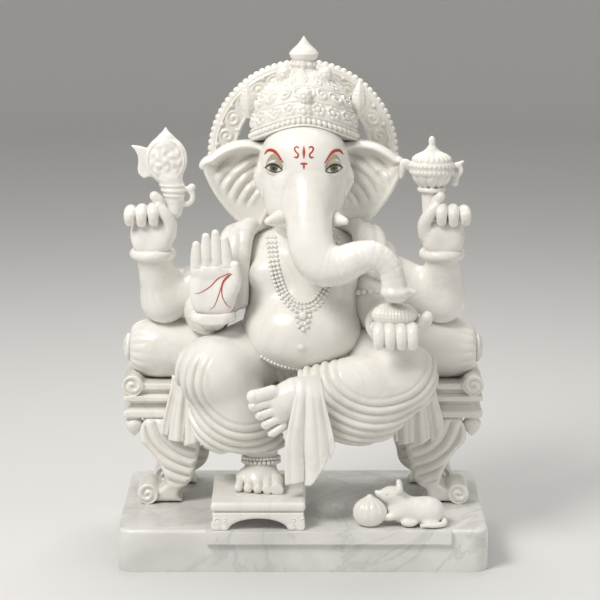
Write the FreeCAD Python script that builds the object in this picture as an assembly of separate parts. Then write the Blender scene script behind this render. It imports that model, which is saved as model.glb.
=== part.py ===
"""Seated marble Ganesha idol on a bench, carved as separate stones that steel pins and resin hold together.

Millimetres. +Z is up, -Y is the front, +X is the viewer's right, which is the idol's own left.
The origin is the centre of the plinth's underside. Each node is one STEP in parts/.
Left and right in the names are the idol's own.
"""
import FreeCAD, Part
import math
import os

V = FreeCAD.Vector
UP = V(0, 0, 1)
BACK = V(0, 1, 0)
ACROSS = V(1, 0, 0)

# Base
IDOL_TOP = 610.0
PLINTH_WIDTH, PLINTH_DEPTH, PLINTH_HEIGHT = 432.0, 276.0, 50.0
PLINTH_CORNER, PLINTH_TOP_EDGE = 20.0, 4.0
SLAB_MID_X, SLAB_WIDTH, SLAB_DEPTH, SLAB_THICK = 30.0, 284.0, 100.0, 15.0
SLAB_PROUD = 5.0

# Footstool
STOOL_MID_X, STOOL_WIDTH, STOOL_DEPTH = -52.0, 110.0, 134.0
STOOL_HEIGHT, STOOL_BOARD, STOOL_FRAME = 33.0, 14.0, 14.0
STOOL_FRONT, STOOL_CORNER, STOOL_FRAME_INSET = -PLINTH_DEPTH / 2, 6.0, 1.0
STOOL_ARCH_WIDTH, STOOL_ARCH_RISE = 62.0, 0.7  # the rise is a share of the frame's height
STOOL_TOP = PLINTH_HEIGHT + STOOL_HEIGHT

# Mouse: masses as offsets from its middle and three radii
MOUSE_MIDDLE = V(132, -112, PLINTH_HEIGHT + 16)
MOUSE_MASSES = (
    (V(0, 0, 0), (32, 17, 18)),  # trunk
    (V(-20, 0, 6), (17, 14, 18)),  # chest
    (V(-32, -3, 19), (17, 12, 11)),  # face
    (V(-23, -13, 30), (5, 3, 6)),  # ears
    (V(-23, 2, 30), (5, 3, 6)),
)
SWEET = (V(-54, -4, 2), (20, 18, 19))

# Bench
BENCH_HALF, BENCH_FRONT, BENCH_DEPTH = 216.0, -22.0, 134.0
BENCH_BOTTOM, BENCH_THICK, BENCH_COVE = 155.0, 42.0, 7.0
BENCH_TOP = BENCH_BOTTOM + BENCH_THICK
BENCH_BACK = BENCH_FRONT + BENCH_DEPTH
VOLUTE_RADIUS = 13.0
LEG_DEPTH, LEG_OUTER_X, LEG_SET_FORWARD, LEG_REAR_INSET = 52.0, 184.0, 4.0, 14.0
LEG_KNEE_WIDTH, LEG_ANKLE_WIDTH, LEG_SCROLL = 62.0, 38.0, 12.0
LEG_ANKLE_SHARE, LEG_STEP = 0.28, 8.0  # how high the ankle is, and how far it and the foot step inwards
LEG_BOWS = (9.0, 4.0, 5.0, 10.0)  # of the inner side, the inner ankle, the sole and the outer side
DROP_RADIUS, DROP_LENGTH, DROP_INSET = 11.0, 24.0, 13.0
LEG_ROWS = {  # front face and outer edge of each row of legs
    "front": (BENCH_FRONT - LEG_SET_FORWARD, LEG_OUTER_X),
    "rear": (BENCH_BACK - LEG_DEPTH, LEG_OUTER_X - LEG_REAR_INSET),
}

# Bolsters and their end buttons
BOLSTER_RADIUS, BOLSTER_Y, BOLSTER_EDGE = 36.0, 24.0, 15.0
BOLSTER_INNER, BOLSTER_OUTER = 92.0, 208.0
BUTTON_RADIUS, BUTTON_THICK, BUTTON_EDGE = 18.0, 5.0, 2.0

# Masses of the figure, each a middle and three radii
BELLY = (V(-2, -28, 266), (71, 62, 50))
CHEST = (V(0, -8, 318), (70, 46, 63))
SHOULDERS = (V(0, 12, 350), (94, 42, 34))
HIPS = (V(0, 8, 232), (92, 52, 40))
SKULL = (V(1, -18, 452), (55, 46, 58))
NECK = (V(1, -8, 396), (42, 34, 32))

# Trunk: it drops, bends to the idol's left, rises, goes over a crest and hangs
TRUNK_ROOT = V(4, -46, 450)
TRUNK_DROP, TRUNK_BEND, TRUNK_RISE, TRUNK_CREST, TRUNK_HANG = 63.0, 35.0, 20.0, 25.0, 22.0
TRUNK_TURN = 115.0
TRUNK_FORWARD = 54.0
TRUNK_ROOT_RADIUS, TRUNK_TIP_RADIUS = 28.0, 15.0
TRUNK_STATIONS = 12

# Ears, tusks, crown and halo
EAR_REACH, EAR_HEIGHT, EAR_THICK = 75.0, 114.0, 18.0
EAR_ROOT = V(-46, -8, 375)
EAR_LOBE_X, EAR_TIP_Z, EAR_TOP_Z, EAR_ROOT_Z = 0.14, 0.74, 0.92, 0.30  # shares of reach and height
EAR_LOWER_BOW, EAR_UPPER_BOW = 9.0, 16.0
TUSK_ROOT, TUSK_TIP, TUSK_RADIUS = V(-20, -56, 408), V(-38, -84, 402), 10.0
TUSK_POINT = 0.5  # radius at the tip, as a share of the root's
CROWN_AXIS = V(1, 4, 0)
CROWN_FOOT, CROWN_HEIGHT = 486.0, 88.0
CROWN_HALF_X, CROWN_HALF_Y, CROWN_NECK = 64.0, 54.0, 14.0
CROWN_FALL, CROWN_STEPS = 3.2, 6  # how late the dome turns inwards
BROW_ARCH_RADIUS, BROW_ARCH_RISE = 48.0, 10.0
LOBE = (V(23, -2, CROWN_HEIGHT * 0.9), (10, 11, 9))
FINIAL_RADIUS, FINIAL_COLLAR, FINIAL_COLLAR_SHARE = 17.0, 8.0, 0.84
CROWN_BUD_FOOT = V(-63, 5, CROWN_FOOT + 32)
CROWN_BUD_RADIUS, CROWN_BUD_LENGTH, CROWN_BUD_LEAN = 9.5, 38.0, 0.1
HALO_MIDDLE = V(0, 58, 463)
HALO_RADIUS, HALO_OPENING, HALO_THICK = 115.0, 80.0, 16.0

# Limbs of the idol's right side; the left ones mirror them unless named apart
REAR_SHOULDER, REAR_ELBOW, REAR_WRIST = V(-72, 14, 336), V(-166, 14, 294), V(-178, -10, 354)
LEFT_REAR_WRIST = V(165, -10, 354)  # this forearm leans further inwards
FRONT_SHOULDER = V(-86, -4, 345)
BLESSING_ELBOW, BLESSING_WRIST = V(-113, -8, 284), V(-107, -52, 288)
OFFERING_ELBOW, OFFERING_WRIST = V(88, -18, 288), V(102, -74, 282)
ARM_RADIUS, WRIST_RADIUS = 27.0, 20.0
HIP_JOINT = V(-50, 2, 234)
RIGHT_KNEE, RIGHT_ANKLE = V(-106, -74, 225), V(-50, -50, 124)
LEFT_KNEE, LEFT_ANKLE = V(116, -56, 210), V(8, -92, 204)
THIGH_RADIUS, KNEE_RADIUS, HEM_RADIUS = 44.0, 40.0, 24.0
RIGHT_CLOTH_BAG = (V(-90, -60, 182), (44, 38, 44))  # loose cloth that sags from each shin
LEFT_CLOTH_BAG = (V(62, -72, 180), (60, 34, 40))

# Hands: masses as offsets from the wrist, or from the palm's middle, and three radii
REAR_PALM, REAR_KNUCKLES = (V(1, -7, 24), (27, 18, 24)), (V(-8, -20, 50), (20, 12, 15))
REAR_THUMB, REAR_THUMB_RADII = (V(22, -8, 30), V(24, -12, 48)), (11, 8)
BLESSING_PALM = (V(1, -12, 30), (28, 12, 38))
BLESSING_THUMB, BLESSING_THUMB_RADII = (V(23, -3, 0), V(27, -8, 36)), (9, 6)
FINGER_SHARES = (0.80, 0.92, 1.0, 0.90)  # little to fore finger, as shares of the middle one
FINGER_LENGTH, FINGER_PITCH, FINGER_RADIUS, FINGER_POINT = 46.0, 11.6, 6.8, 0.75
FINGER_ROOT, FINGER_REACH = V(0, -2, 24), V(-3, -5, 0)
OFFERING_PALM = (V(5, -16, -5), (31, 21, 13))
OFFERING_THUMB, OFFERING_THUMB_RADII = (V(25, 4, 6), V(35, -2, 13)), (8, 7)
CURLED_ROOT, CURLED_KNUCKLE, CURLED_TIP = V(0, -12, -5), V(0, -11, 1), V(0, -2, 11)
CURLED_PITCH, CURLED_RADII = 13.5, (7, 7, 6)
SWEETS = (V(4, -17, 13), (26, 19, 17))

# Feet
HEEL_RADIUS, HEEL_FORWARD = 19.0, 4.0
INSTEP_OFFSET, INSTEP_RADII = V(-4, -18, -7), (25, 26, 15)
TOE_START, TOE_PITCH, TOE_RADIUS, GREAT_TOE_RADIUS = V(-24, -26, 0), 10.0, 5.5, 7.5
TOE_LENGTH, TOE_GROWTH, TOE_POINT = 8.0, 2.0, 0.85
CROSSED_BALL, CROSSED_RADII = V(-42, -10, -10), (21, 20)
CROSSED_TOE_START, CROSSED_TOE_STEP = V(-2, -4, 11), V(3, 0, -9)
CROSSED_TOE_REACH, CROSSED_TOE_SHORTER = V(-22, -3, -2), V(2, 0, 0)
CROSSED_TOE_RADIUS, CROSSED_TOE_THINNER = 8.5, 0.7

# Cloth and dress
SASH_MID_X, SASH_TOP_WIDTH, SASH_WIDTH, SASH_THICK = 9.0, 24.0, 60.0, 14.0
SASH_TOP, SASH_WIDEST, SASH_FOOT, SASH_FORWARD = 230.0, 134.0, 98.0, 32.0
DRAPE_MID_X, DRAPE_TOP_WIDTH, DRAPE_HEM_WIDTH, DRAPE_THICK = -141.0, 40.0, 60.0, 14.0
DRAPE_TOP, DRAPE_HEM, DRAPE_FORWARD = BENCH_TOP + 12, BENCH_BOTTOM - 28, 12.0
CLOTH_BOW = 4.0
SHAWL_BACK, SHAWL_TOP, SHAWL_FRONT = V(68, 16, 376), V(82, -16, 370), V(85, -38, 0)
SHAWL_LOW = {-1: 300.0, 1: 350.0}  # the right fall is the longer
SHAWL_RADII = (15, 16, 14)
NECKLACE_HALF, NECKLACE_LOW, NECKLACE_RISE, NECKLACE_PROUD, NECKLACE_RADIUS = 38.0, 296.0, 80.0, 3.0, 5.0
BELT_HALF, BELT_LOW, BELT_RISE, BELT_PROUD, BELT_RADIUS = 50.0, 228.0, 13.0, 2.0, 3.5
BANGLE_THICK, OFFERING_BANGLE_PROUD, OFFERING_BANGLE_THICK, OFFERING_BANGLE_PLACE = 6.5, 3.0, 5.0, 0.8
ARMBAND_PLACE, ARMBAND_PROUD, ARMBAND_THICK = 0.62, 1.5, 4.0
ANKLET_DROP, ANKLET_RADIUS, ANKLET_THICK = 12.0, 22.0, 4.0

# Emblems
AXE_MIDDLE, AXE_BOSS, AXE_POINT = V(-161, -22, 468), (26, 13, 30), (V(0, 0, 24), V(0, 0, 34), 8, 3)
AXE_STEM = (V(8, 0, -24), V(12, 0, -60), 15, 10)
BLADE_ROOT, BLADE_REACH, BLADE_HALF, BLADE_THICK, BLADE_BOW = 18.0, 42.0, 18.0, 10.0, 5.0
BLADE_FOOT_SHARE = 0.8  # how far out the blade's lower corner is, as a share of its reach
AXE_LOOP, AXE_LOOP_RADIUS, LOOP_THICK = V(21, 0, -44), 9.0, 3.5
LOTUS_FOOT, LOTUS_HEIGHT, LOTUS_RADIUS = V(151, -22, 402), 93.0, 27.0
LOTUS_LEVEL, LOTUS_LOOP_RADIUS = 0.58, 6.0  # how high its widest line is, as a share of the height
LOTUS_STEM, LOTUS_BOWL = (0.4, 0.4, 0.6), 0.22  # shares: the stem's height and radii, the bowl's half height
LOTUS_KNOB = 0.75  # its radius as a share of the bowl's

# Steel pins: lengths and, where they aren't centred on a joint, how far below or behind it they start
PIN_RADIUS = 3.0
LEG_PIN, SEAT_PIN, FIGURE_PIN, NECK_PIN = 50.0, 56.0, 60.0, 70.0
HALO_PIN, FINIAL_PIN, EMBLEM_PIN, WRIST_PIN = 44.0, 36.0, 26.0, 36.0
FIGURE_PIN_X, FIGURE_PIN_DROP, NECK_PIN_DROP = 32.0, 22.0, 46.0
HALO_PIN_X, HALO_PIN_Z, HALO_PIN_SET_BACK = 34.0, 362.0, 8.0
EMBLEM_PIN_DROP, WRIST_PIN_DROP = 6.0, 14.0
SLIVER_VOLUME = 300.0  # a piece smaller than this, left beside a bore, is broken off
ROUNDING_STEPS = (15, 35, 55, 75)  # degrees at which a limb's rounded end is sectioned
BUD_BELLY, BUD_WAIST, BUD_POINT = 0.4, 0.9, 0.12  # shares: half the egg's length, then its point's two radii
SIDES = (-1, 1)


# Shape helpers
def mass(middle, radii):
    """A ball stretched to three radii."""
    stretch = FreeCAD.Matrix()
    stretch.scale(*radii)
    ball = Part.makeSphere(1.0).transformGeometry(stretch)
    ball.translate(middle)
    return ball


def front_of(body, x, z):
    """How far forward a mass reaches at a height and a place across."""
    middle, (rx, ry, rz) = body
    inside = 1 - ((x - middle.x) / rx) ** 2 - ((z - middle.z) / rz) ** 2
    return middle.y - ry * math.sqrt(max(inside, 0))


def rounded(station, degrees, way):
    """A smaller ring beyond a station, as a ball of the station's radius has there."""
    point, along, radius = station
    turn = math.radians(degrees)
    return point + along * (way * radius * math.cos(turn)), along, radius * math.sin(turn)


def limb(stations, open_end=False):
    """A round body swept through (point, radius) stations, rounded at its start and, unless open, its end."""
    line = Part.BSplineCurve()
    line.interpolate([point for point, _ in stations])
    rings = [(p, line.tangent(line.parameter(p))[0], r) for p, r in stations]
    start, end = rings[0], rings[-1]
    rings = [rounded(start, a, -1) for a in ROUNDING_STEPS] + rings
    if not open_end:
        rings += [rounded(end, a, 1) for a in reversed(ROUNDING_STEPS)]
    return Part.makeLoft([Part.Wire(Part.makeCircle(r, p, t)) for p, t, r in rings], True, False)


def ball(middle, radius):
    return Part.makeSphere(radius, middle)


def cone(start, end, thick, thin):
    along = end - start
    if thick == thin:
        return Part.makeCylinder(thick, along.Length, start, along)
    return Part.makeCone(thick, thin, along.Length, start, along)


def taper(start, end, thick, thin, open_end=False):
    """A straight limb that changes from one radius to another, with balls for its ends."""
    ends = [ball(start, thick)]
    if not open_end:
        ends.append(ball(end, thin))
    return fused(cone(start, end, thick, thin), *ends)


def jointed(points, radii, open_end=False):
    """Straight limbs that meet in balls, such as an arm at its elbow."""
    stations = list(zip(points, radii))
    bones = [cone(a, b, thick, thin) for (a, thick), (b, thin) in zip(stations, stations[1:])]
    joints = [ball(*station) for station in (stations[:-1] if open_end else stations)]
    return fused(*bones, *joints)


def arc_plate(corners, front, back):
    """A flat shape with clockwise (x, z, bulge) corners; bulge bows the side to the next corner outwards."""
    edges = []
    for (x, z, bulge), (next_x, next_z, _) in zip(corners, corners[1:] + corners[:1]):
        a, b = V(x, front, z), V(next_x, front, next_z)
        if bulge:
            side = b - a
            outwards = V(-side.z, 0, side.x).normalize()
            edges.append(Part.Arc(a, (a + b) * 0.5 + outwards * bulge, b).toShape())
        else:
            edges.append(Part.makeLine(a, b))
    return Part.Face(Part.Wire(edges)).extrude(V(0, back - front, 0))


def block(middle_x, width, front, depth, bottom, height, edge=0.0):
    """A box, with its upright edges rounded where asked."""
    box = Part.makeBox(width, depth, height, V(middle_x - width / 2, front, bottom))
    if not edge:
        return box
    upright = [e for e in box.Edges if abs(e.tangentAt(e.FirstParameter).z) > 0.9]
    return box.makeFillet(edge, upright)


def bud(foot, radius, length, along=UP):
    """An egg that rises to a blunt point."""
    belly = length * BUD_BELLY
    egg = mass(V(0, 0, belly), (radius, radius, belly))
    point = Part.makeCone(radius * BUD_WAIST, radius * BUD_POINT, length / 2, V(0, 0, length / 2), UP)
    solid = fused(egg, point)
    solid.Placement = FreeCAD.Placement(foot, FreeCAD.Rotation(UP, along))
    return solid


def disc(foot, radius, thick, along, edge):
    """A short cylinder with its two rims rounded."""
    round_bar = Part.makeCylinder(radius, thick, foot, along)
    return round_bar.makeFillet(edge, [e for e in round_bar.Edges if e.Length > 2 * radius and e.Closed])


def ring(middle, radius, thick, axis=UP):
    return Part.makeTorus(radius, thick, middle, axis)


def rod(foot, length, along=UP):
    return Part.makeCylinder(PIN_RADIUS, length, foot, along)


def other_side(shape):
    return shape.mirror(V(0, 0, 0), ACROSS)


def flipped(point):
    return V(-point.x, point.y, point.z)


def fused(*shapes):
    return shapes[0].multiFuse(shapes[1:]).removeSplitter()


def less(shape, *tools):
    """The shape without the other solids' room, as its largest remaining solid."""
    for tool in tools:
        if shape.BoundBox.intersect(tool.BoundBox):
            shape = shape.cut(tool)
    return max(shape.Solids, key=lambda solid: solid.Volume)


def group(*shapes):
    return Part.makeCompound([solid for shape in shapes for solid in shape.Solids])


# Base, footstool and mouse
def base_stones():
    """The plinth, and the thin slab let into its front edge."""
    plinth = block(0, PLINTH_WIDTH, -PLINTH_DEPTH / 2, PLINTH_DEPTH, 0, PLINTH_HEIGHT, PLINTH_CORNER)
    rim = [e for e in plinth.Edges if e.BoundBox.ZMin > PLINTH_HEIGHT - 1]
    plinth = plinth.makeFillet(PLINTH_TOP_EDGE, rim)
    slab_front = -PLINTH_DEPTH / 2 - SLAB_PROUD
    slab = block(SLAB_MID_X, SLAB_WIDTH, slab_front, SLAB_DEPTH, PLINTH_HEIGHT - SLAB_THICK, SLAB_THICK)
    return {"plinth": less(plinth, slab), "front_slab": slab}


def footstool():
    """A board on two arched frames, one at the front and one at the back."""
    clear = STOOL_HEIGHT - STOOL_BOARD
    underside = STOOL_TOP - STOOL_BOARD
    top = block(STOOL_MID_X, STOOL_WIDTH, STOOL_FRONT, STOOL_DEPTH, underside, STOOL_BOARD, STOOL_CORNER)
    half_arch, foot = STOOL_ARCH_WIDTH / 2, PLINTH_HEIGHT - 1
    corners = [(STOOL_MID_X - half_arch, foot, clear * STOOL_ARCH_RISE), (STOOL_MID_X + half_arch, foot, 0)]
    frames = []
    rear = STOOL_FRONT + STOOL_DEPTH - STOOL_FRAME
    for front in (STOOL_FRONT + STOOL_FRAME_INSET, rear - STOOL_FRAME_INSET):
        frame = block(STOOL_MID_X, STOOL_WIDTH, front, STOOL_FRAME, PLINTH_HEIGHT, clear)
        frames.append(frame.cut(arc_plate(corners, front - 1, front + STOOL_FRAME + 1)))
    return {"footstool_top": top, "footstool_frames": group(*frames)}


def mouse():
    """A crouching mouse that noses a round sweet."""
    below = block(MOUSE_MIDDLE.x, PLINTH_WIDTH, -PLINTH_DEPTH, PLINTH_DEPTH, 0, PLINTH_HEIGHT)
    sweet = less(mass(MOUSE_MIDDLE + SWEET[0], SWEET[1]), below)
    body = fused(*[mass(MOUSE_MIDDLE + offset, radii) for offset, radii in MOUSE_MASSES])
    return {"mouse": less(body, below, sweet), "mouse_sweet": sweet}


# Bench
def bench_seat():
    """A slab with two projecting mouldings, and a rolled scroll along each end."""
    waist = 2 * (BENCH_HALF - BENCH_COVE)
    moulding = BENCH_THICK / 4
    layers = []
    for step in range(4):
        bottom = BENCH_BOTTOM + step * moulding
        if step % 2:
            front, depth = BENCH_FRONT + BENCH_COVE, BENCH_DEPTH - 2 * BENCH_COVE
            layers.append(block(0, waist, front, depth, bottom, moulding))
        else:
            layers.append(block(0, 2 * BENCH_HALF, BENCH_FRONT, BENCH_DEPTH, bottom, moulding, 4))
    reach = BENCH_HALF - VOLUTE_RADIUS
    for side in SIDES:
        foot = V(side * reach, BENCH_FRONT, BENCH_TOP - 2)
        layers.append(Part.makeCylinder(VOLUTE_RADIUS, BENCH_DEPTH, foot, BACK))
    return fused(*layers)


def bench_leg(front, outer_x):
    """A cabriole leg: a swelling knee, a narrow ankle, and a foot that scrolls outwards."""
    foot, height = PLINTH_HEIGHT, BENCH_BOTTOM - PLINTH_HEIGHT
    outer, inner = -outer_x, -outer_x + LEG_KNEE_WIDTH
    ankle_x, ankle_z = outer + LEG_STEP, foot + height * LEG_ANKLE_SHARE
    inner_bow, ankle_bow, sole_bow, outer_bow = LEG_BOWS
    corners = [
        (outer, BENCH_BOTTOM, 0),
        (inner, BENCH_BOTTOM, -inner_bow),
        (ankle_x + LEG_ANKLE_WIDTH, ankle_z, -ankle_bow),
        (ankle_x + LEG_ANKLE_WIDTH - LEG_STEP, foot, 0),
        (outer - LEG_STEP, foot, sole_bow),
        (ankle_x, ankle_z, outer_bow),
    ]
    column = arc_plate(corners, front, front + LEG_DEPTH)
    scroll_foot = V(outer - LEG_STEP / 2, front, foot + LEG_SCROLL)
    return fused(column, Part.makeCylinder(LEG_SCROLL, LEG_DEPTH, scroll_foot, BACK))


def bench_drops():
    """Four turned drops that hang below the bench's corners."""
    reach = BENCH_HALF - DROP_INSET
    rows = (BENCH_FRONT + DROP_INSET, BENCH_BACK - DROP_INSET)
    places = [(side * reach, y) for side in SIDES for y in rows]
    return group(*[bud(V(x, y, BENCH_BOTTOM), DROP_RADIUS, DROP_LENGTH, -UP) for x, y in places])


def bolster():
    """The idol's right half of the bolster, and the button on its end."""
    z = BENCH_TOP + BOLSTER_RADIUS
    foot, end = V(-BOLSTER_INNER, BOLSTER_Y, z), V(-BOLSTER_OUTER, BOLSTER_Y, z)
    roll = disc(foot, BOLSTER_RADIUS, BOLSTER_OUTER - BOLSTER_INNER, -ACROSS, BOLSTER_EDGE)
    return roll, disc(end, BUTTON_RADIUS, BUTTON_THICK, -ACROSS, BUTTON_EDGE)


# Head
def walk(pieces, distance):
    """Where a path of (length, turn) pieces is after a distance, when it sets out straight down."""
    heading, x, z = -math.pi / 2, 0.0, 0.0
    for length, turn in pieces:
        part = min(length, distance)
        bend = turn * part / length
        chord = 2 * (part / bend) * math.sin(bend / 2) if bend else part
        x += chord * math.cos(heading + bend / 2)
        z += chord * math.sin(heading + bend / 2)
        heading += bend
        distance -= part
        if distance <= 0:
            break
    return x, z


def trunk():
    """Rings at even steps along the drop, bend, rise, crest and hang, moving forwards as they go."""
    turn = math.radians(TRUNK_TURN)
    pieces = [(TRUNK_DROP, 0), (TRUNK_BEND * turn, turn), (TRUNK_RISE, 0)]
    pieces += [(TRUNK_CREST * turn, -turn), (TRUNK_HANG, 0)]
    whole = sum(length for length, _ in pieces)
    stations = []
    for index in range(TRUNK_STATIONS):
        share = index / (TRUNK_STATIONS - 1)
        x, z = walk(pieces, share * whole)
        forward = TRUNK_FORWARD * math.sin(share * math.pi / 2)
        radius = TRUNK_ROOT_RADIUS + (TRUNK_TIP_RADIUS - TRUNK_ROOT_RADIUS) * share**2
        stations.append((TRUNK_ROOT + V(x, -forward, z), radius))
    return limb(stations, open_end=True)


def ear():
    """The idol's right ear: a fan that rises from the head, points outwards and narrows to a lobe."""
    x, foot = EAR_ROOT.x, EAR_ROOT.z
    corners = [
        (x - EAR_REACH * EAR_LOBE_X, foot, EAR_LOWER_BOW),
        (x - EAR_REACH, foot + EAR_HEIGHT * EAR_TIP_Z, EAR_UPPER_BOW),
        (x, foot + EAR_HEIGHT * EAR_TOP_Z, 0),
        (x, foot + EAR_HEIGHT * EAR_ROOT_Z, 0),
    ]
    return arc_plate(corners, EAR_ROOT.y, EAR_ROOT.y + EAR_THICK)


def tusk():
    return taper(TUSK_ROOT, TUSK_TIP, TUSK_RADIUS, TUSK_RADIUS * TUSK_POINT)


def crown():
    """A domed cap that closes to a narrow neck, arched open over the brow, with two small lobes on top."""
    ovals = []
    for step in range(CROWN_STEPS + 1):
        share = step / CROWN_STEPS
        fall = 1 - share**CROWN_FALL
        half_x = CROWN_NECK + (CROWN_HALF_X - CROWN_NECK) * fall
        half_y = CROWN_NECK + (CROWN_HALF_Y - CROWN_NECK) * fall
        middle = CROWN_AXIS + V(0, 0, CROWN_FOOT + share * CROWN_HEIGHT)
        ovals.append(Part.Wire(Part.Ellipse(middle, half_x, half_y).toShape()))
    dome = Part.makeLoft(ovals, True, False)
    arch_z = CROWN_FOOT + BROW_ARCH_RISE - BROW_ARCH_RADIUS
    arch_foot = V(CROWN_AXIS.x, CROWN_AXIS.y - 2 * CROWN_HALF_Y, arch_z)
    arch = Part.makeCylinder(BROW_ARCH_RADIUS, 2 * CROWN_HALF_Y, arch_foot, BACK)
    offset, radii = LOBE
    lobe = mass(CROWN_AXIS + V(0, 0, CROWN_FOOT) + offset, radii)
    return fused(dome.cut(arch), lobe, other_side(lobe))


def crown_finial():
    """A round collar, and a bulb that rises to a point."""
    foot = CROWN_AXIS + V(0, 0, CROWN_FOOT + CROWN_HEIGHT)
    bulb = bud(foot + UP * (FINIAL_COLLAR / 2), FINIAL_RADIUS, IDOL_TOP - foot.z - FINIAL_COLLAR / 2)
    return fused(Part.makeCylinder(FINIAL_RADIUS * FINIAL_COLLAR_SHARE, FINIAL_COLLAR, foot), bulb)


def crown_bud():
    """A pointed leaf bud that stands against the idol's right side of the crown."""
    return bud(CROWN_BUD_FOOT, CROWN_BUD_RADIUS, CROWN_BUD_LENGTH, V(-CROWN_BUD_LEAN, 0, 1))


def halo():
    foot = HALO_MIDDLE - BACK * (HALO_THICK / 2)
    opening = Part.makeCylinder(HALO_OPENING, 2 * HALO_THICK, foot - BACK * (HALO_THICK / 2), BACK)
    return Part.makeCylinder(HALO_RADIUS, HALO_THICK, foot, BACK).cut(opening)


# Limbs
def from_point(point, offset_mass):
    """A mass that is given as an offset from a point and three radii."""
    offset, radii = offset_mass
    return mass(point + offset, radii)


def thumb(point, ends, radii):
    return taper(point + ends[0], point + ends[1], *radii)


def rear_hand():
    """A raised fist whose thumb and forefinger hold a stem."""
    palm, knuckles = from_point(REAR_WRIST, REAR_PALM), from_point(REAR_WRIST, REAR_KNUCKLES)
    return fused(palm, knuckles, thumb(REAR_WRIST, REAR_THUMB, REAR_THUMB_RADII))


def blessing_hand():
    """The raised open palm, its fingers fanned slightly and its thumb upright."""
    middle = BLESSING_WRIST + BLESSING_PALM[0]
    fingers = []
    for index, share in enumerate(FINGER_SHARES):
        across = (index - 1.5) * FINGER_PITCH
        root = middle + FINGER_ROOT + V(across, 0, 0)
        tip = root + FINGER_REACH + V(0, 0, FINGER_LENGTH * share)
        fingers.append(taper(root, tip, FINGER_RADIUS, FINGER_RADIUS * FINGER_POINT))
    upright = thumb(middle, BLESSING_THUMB, BLESSING_THUMB_RADII)
    return fused(mass(middle, BLESSING_PALM[1]), upright, *fingers)


def offering_hand():
    """The lowered palm, with the fingers curled up in front."""
    middle = OFFERING_WRIST + OFFERING_PALM[0]
    fingers = []
    for index in range(4):
        root = middle + CURLED_ROOT + V((index - 1.5) * CURLED_PITCH, 0, 0)
        knuckle = root + CURLED_KNUCKLE
        fingers.append(jointed((root, knuckle, knuckle + CURLED_TIP), CURLED_RADII))
    outer = thumb(middle, OFFERING_THUMB, OFFERING_THUMB_RADII)
    return fused(mass(middle, OFFERING_PALM[1]), outer, *fingers)


def right_leg():
    """The thigh to a raised knee, the shin down to an open hem above the footstool, and the cloth's sag."""
    joints = (HIP_JOINT, RIGHT_KNEE, RIGHT_ANKLE)
    leg = jointed(joints, (THIGH_RADIUS, KNEE_RADIUS, HEM_RADIUS), open_end=True)
    return fused(leg, mass(*RIGHT_CLOTH_BAG))


def left_leg():
    """The thigh out to the knee, the shin laid level across the lap, and the cloth's sag."""
    joints = (flipped(HIP_JOINT), LEFT_KNEE, LEFT_ANKLE)
    leg = jointed(joints, (THIGH_RADIUS, KNEE_RADIUS, HEM_RADIUS), open_end=True)
    return fused(leg, mass(*LEFT_CLOTH_BAG))


def standing_foot():
    """Heel, instep and five toes flat on the footstool, the great toe inwards."""
    heel_middle = V(RIGHT_ANKLE.x, RIGHT_ANKLE.y + HEEL_FORWARD, STOOL_TOP + HEEL_RADIUS)
    heel = taper(RIGHT_ANKLE, heel_middle, HEEL_RADIUS, HEEL_RADIUS)
    instep = mass(heel_middle + INSTEP_OFFSET, INSTEP_RADII)
    toes = []
    for index in range(5):
        radius = GREAT_TOE_RADIUS if index == 4 else TOE_RADIUS
        root = heel_middle + TOE_START + V(index * TOE_PITCH, 0, radius - HEEL_RADIUS)
        tip = root - V(0, TOE_LENGTH + TOE_GROWTH * index, 0)
        toes.append(taper(root, tip, radius, radius * TOE_POINT))
    return fused(heel, instep, *toes)


def crossed_foot():
    """The left foot, laid beside the right shin with its toes outwards."""
    ball_of_foot = LEFT_ANKLE + CROSSED_BALL
    instep = taper(LEFT_ANKLE, ball_of_foot, *CROSSED_RADII)
    toes = []
    for index in range(5):
        radius = CROSSED_TOE_RADIUS - index * CROSSED_TOE_THINNER
        root = ball_of_foot + CROSSED_TOE_START + CROSSED_TOE_STEP * index
        tip = root + CROSSED_TOE_REACH + CROSSED_TOE_SHORTER * index
        toes.append(taper(root, tip, radius, radius * TOE_POINT))
    return fused(instep, *toes)


# Cloth and dress
def front_sash():
    """The waist cloth's free end: narrow at the lap, full below it and drawn in at the foot."""
    half_top, half = SASH_TOP_WIDTH / 2, SASH_WIDTH / 2
    corners = [
        (SASH_MID_X - half_top, SASH_TOP, 0),
        (SASH_MID_X + half_top, SASH_TOP, CLOTH_BOW),
        (SASH_MID_X + half, SASH_WIDEST, CLOTH_BOW),
        (SASH_MID_X, SASH_FOOT, CLOTH_BOW),
        (SASH_MID_X - half, SASH_WIDEST, CLOTH_BOW),
    ]
    front = LEFT_ANKLE.y - SASH_FORWARD
    return arc_plate(corners, front, front + SASH_THICK)


def side_drape():
    """A fall of cloth over the bench's front, which spreads towards its hem."""
    half_top, half_hem = DRAPE_TOP_WIDTH / 2, DRAPE_HEM_WIDTH / 2
    corners = [
        (DRAPE_MID_X - half_top, DRAPE_TOP, 0),
        (DRAPE_MID_X + half_top, DRAPE_TOP, CLOTH_BOW),
        (DRAPE_MID_X + half_hem, DRAPE_HEM, CLOTH_BOW),
        (DRAPE_MID_X - half_hem, DRAPE_HEM, CLOTH_BOW),
    ]
    front = BENCH_FRONT - DRAPE_FORWARD
    return arc_plate(corners, front, front + DRAPE_THICK)


def shawl():
    """Folded cloth over both shoulders."""
    falls = []
    for side, low in SHAWL_LOW.items():
        path = (SHAWL_BACK, SHAWL_TOP, SHAWL_FRONT + V(0, 0, low))
        falls.append(jointed([V(side * point.x, point.y, point.z) for point in path], SHAWL_RADII))
    return falls


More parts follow.
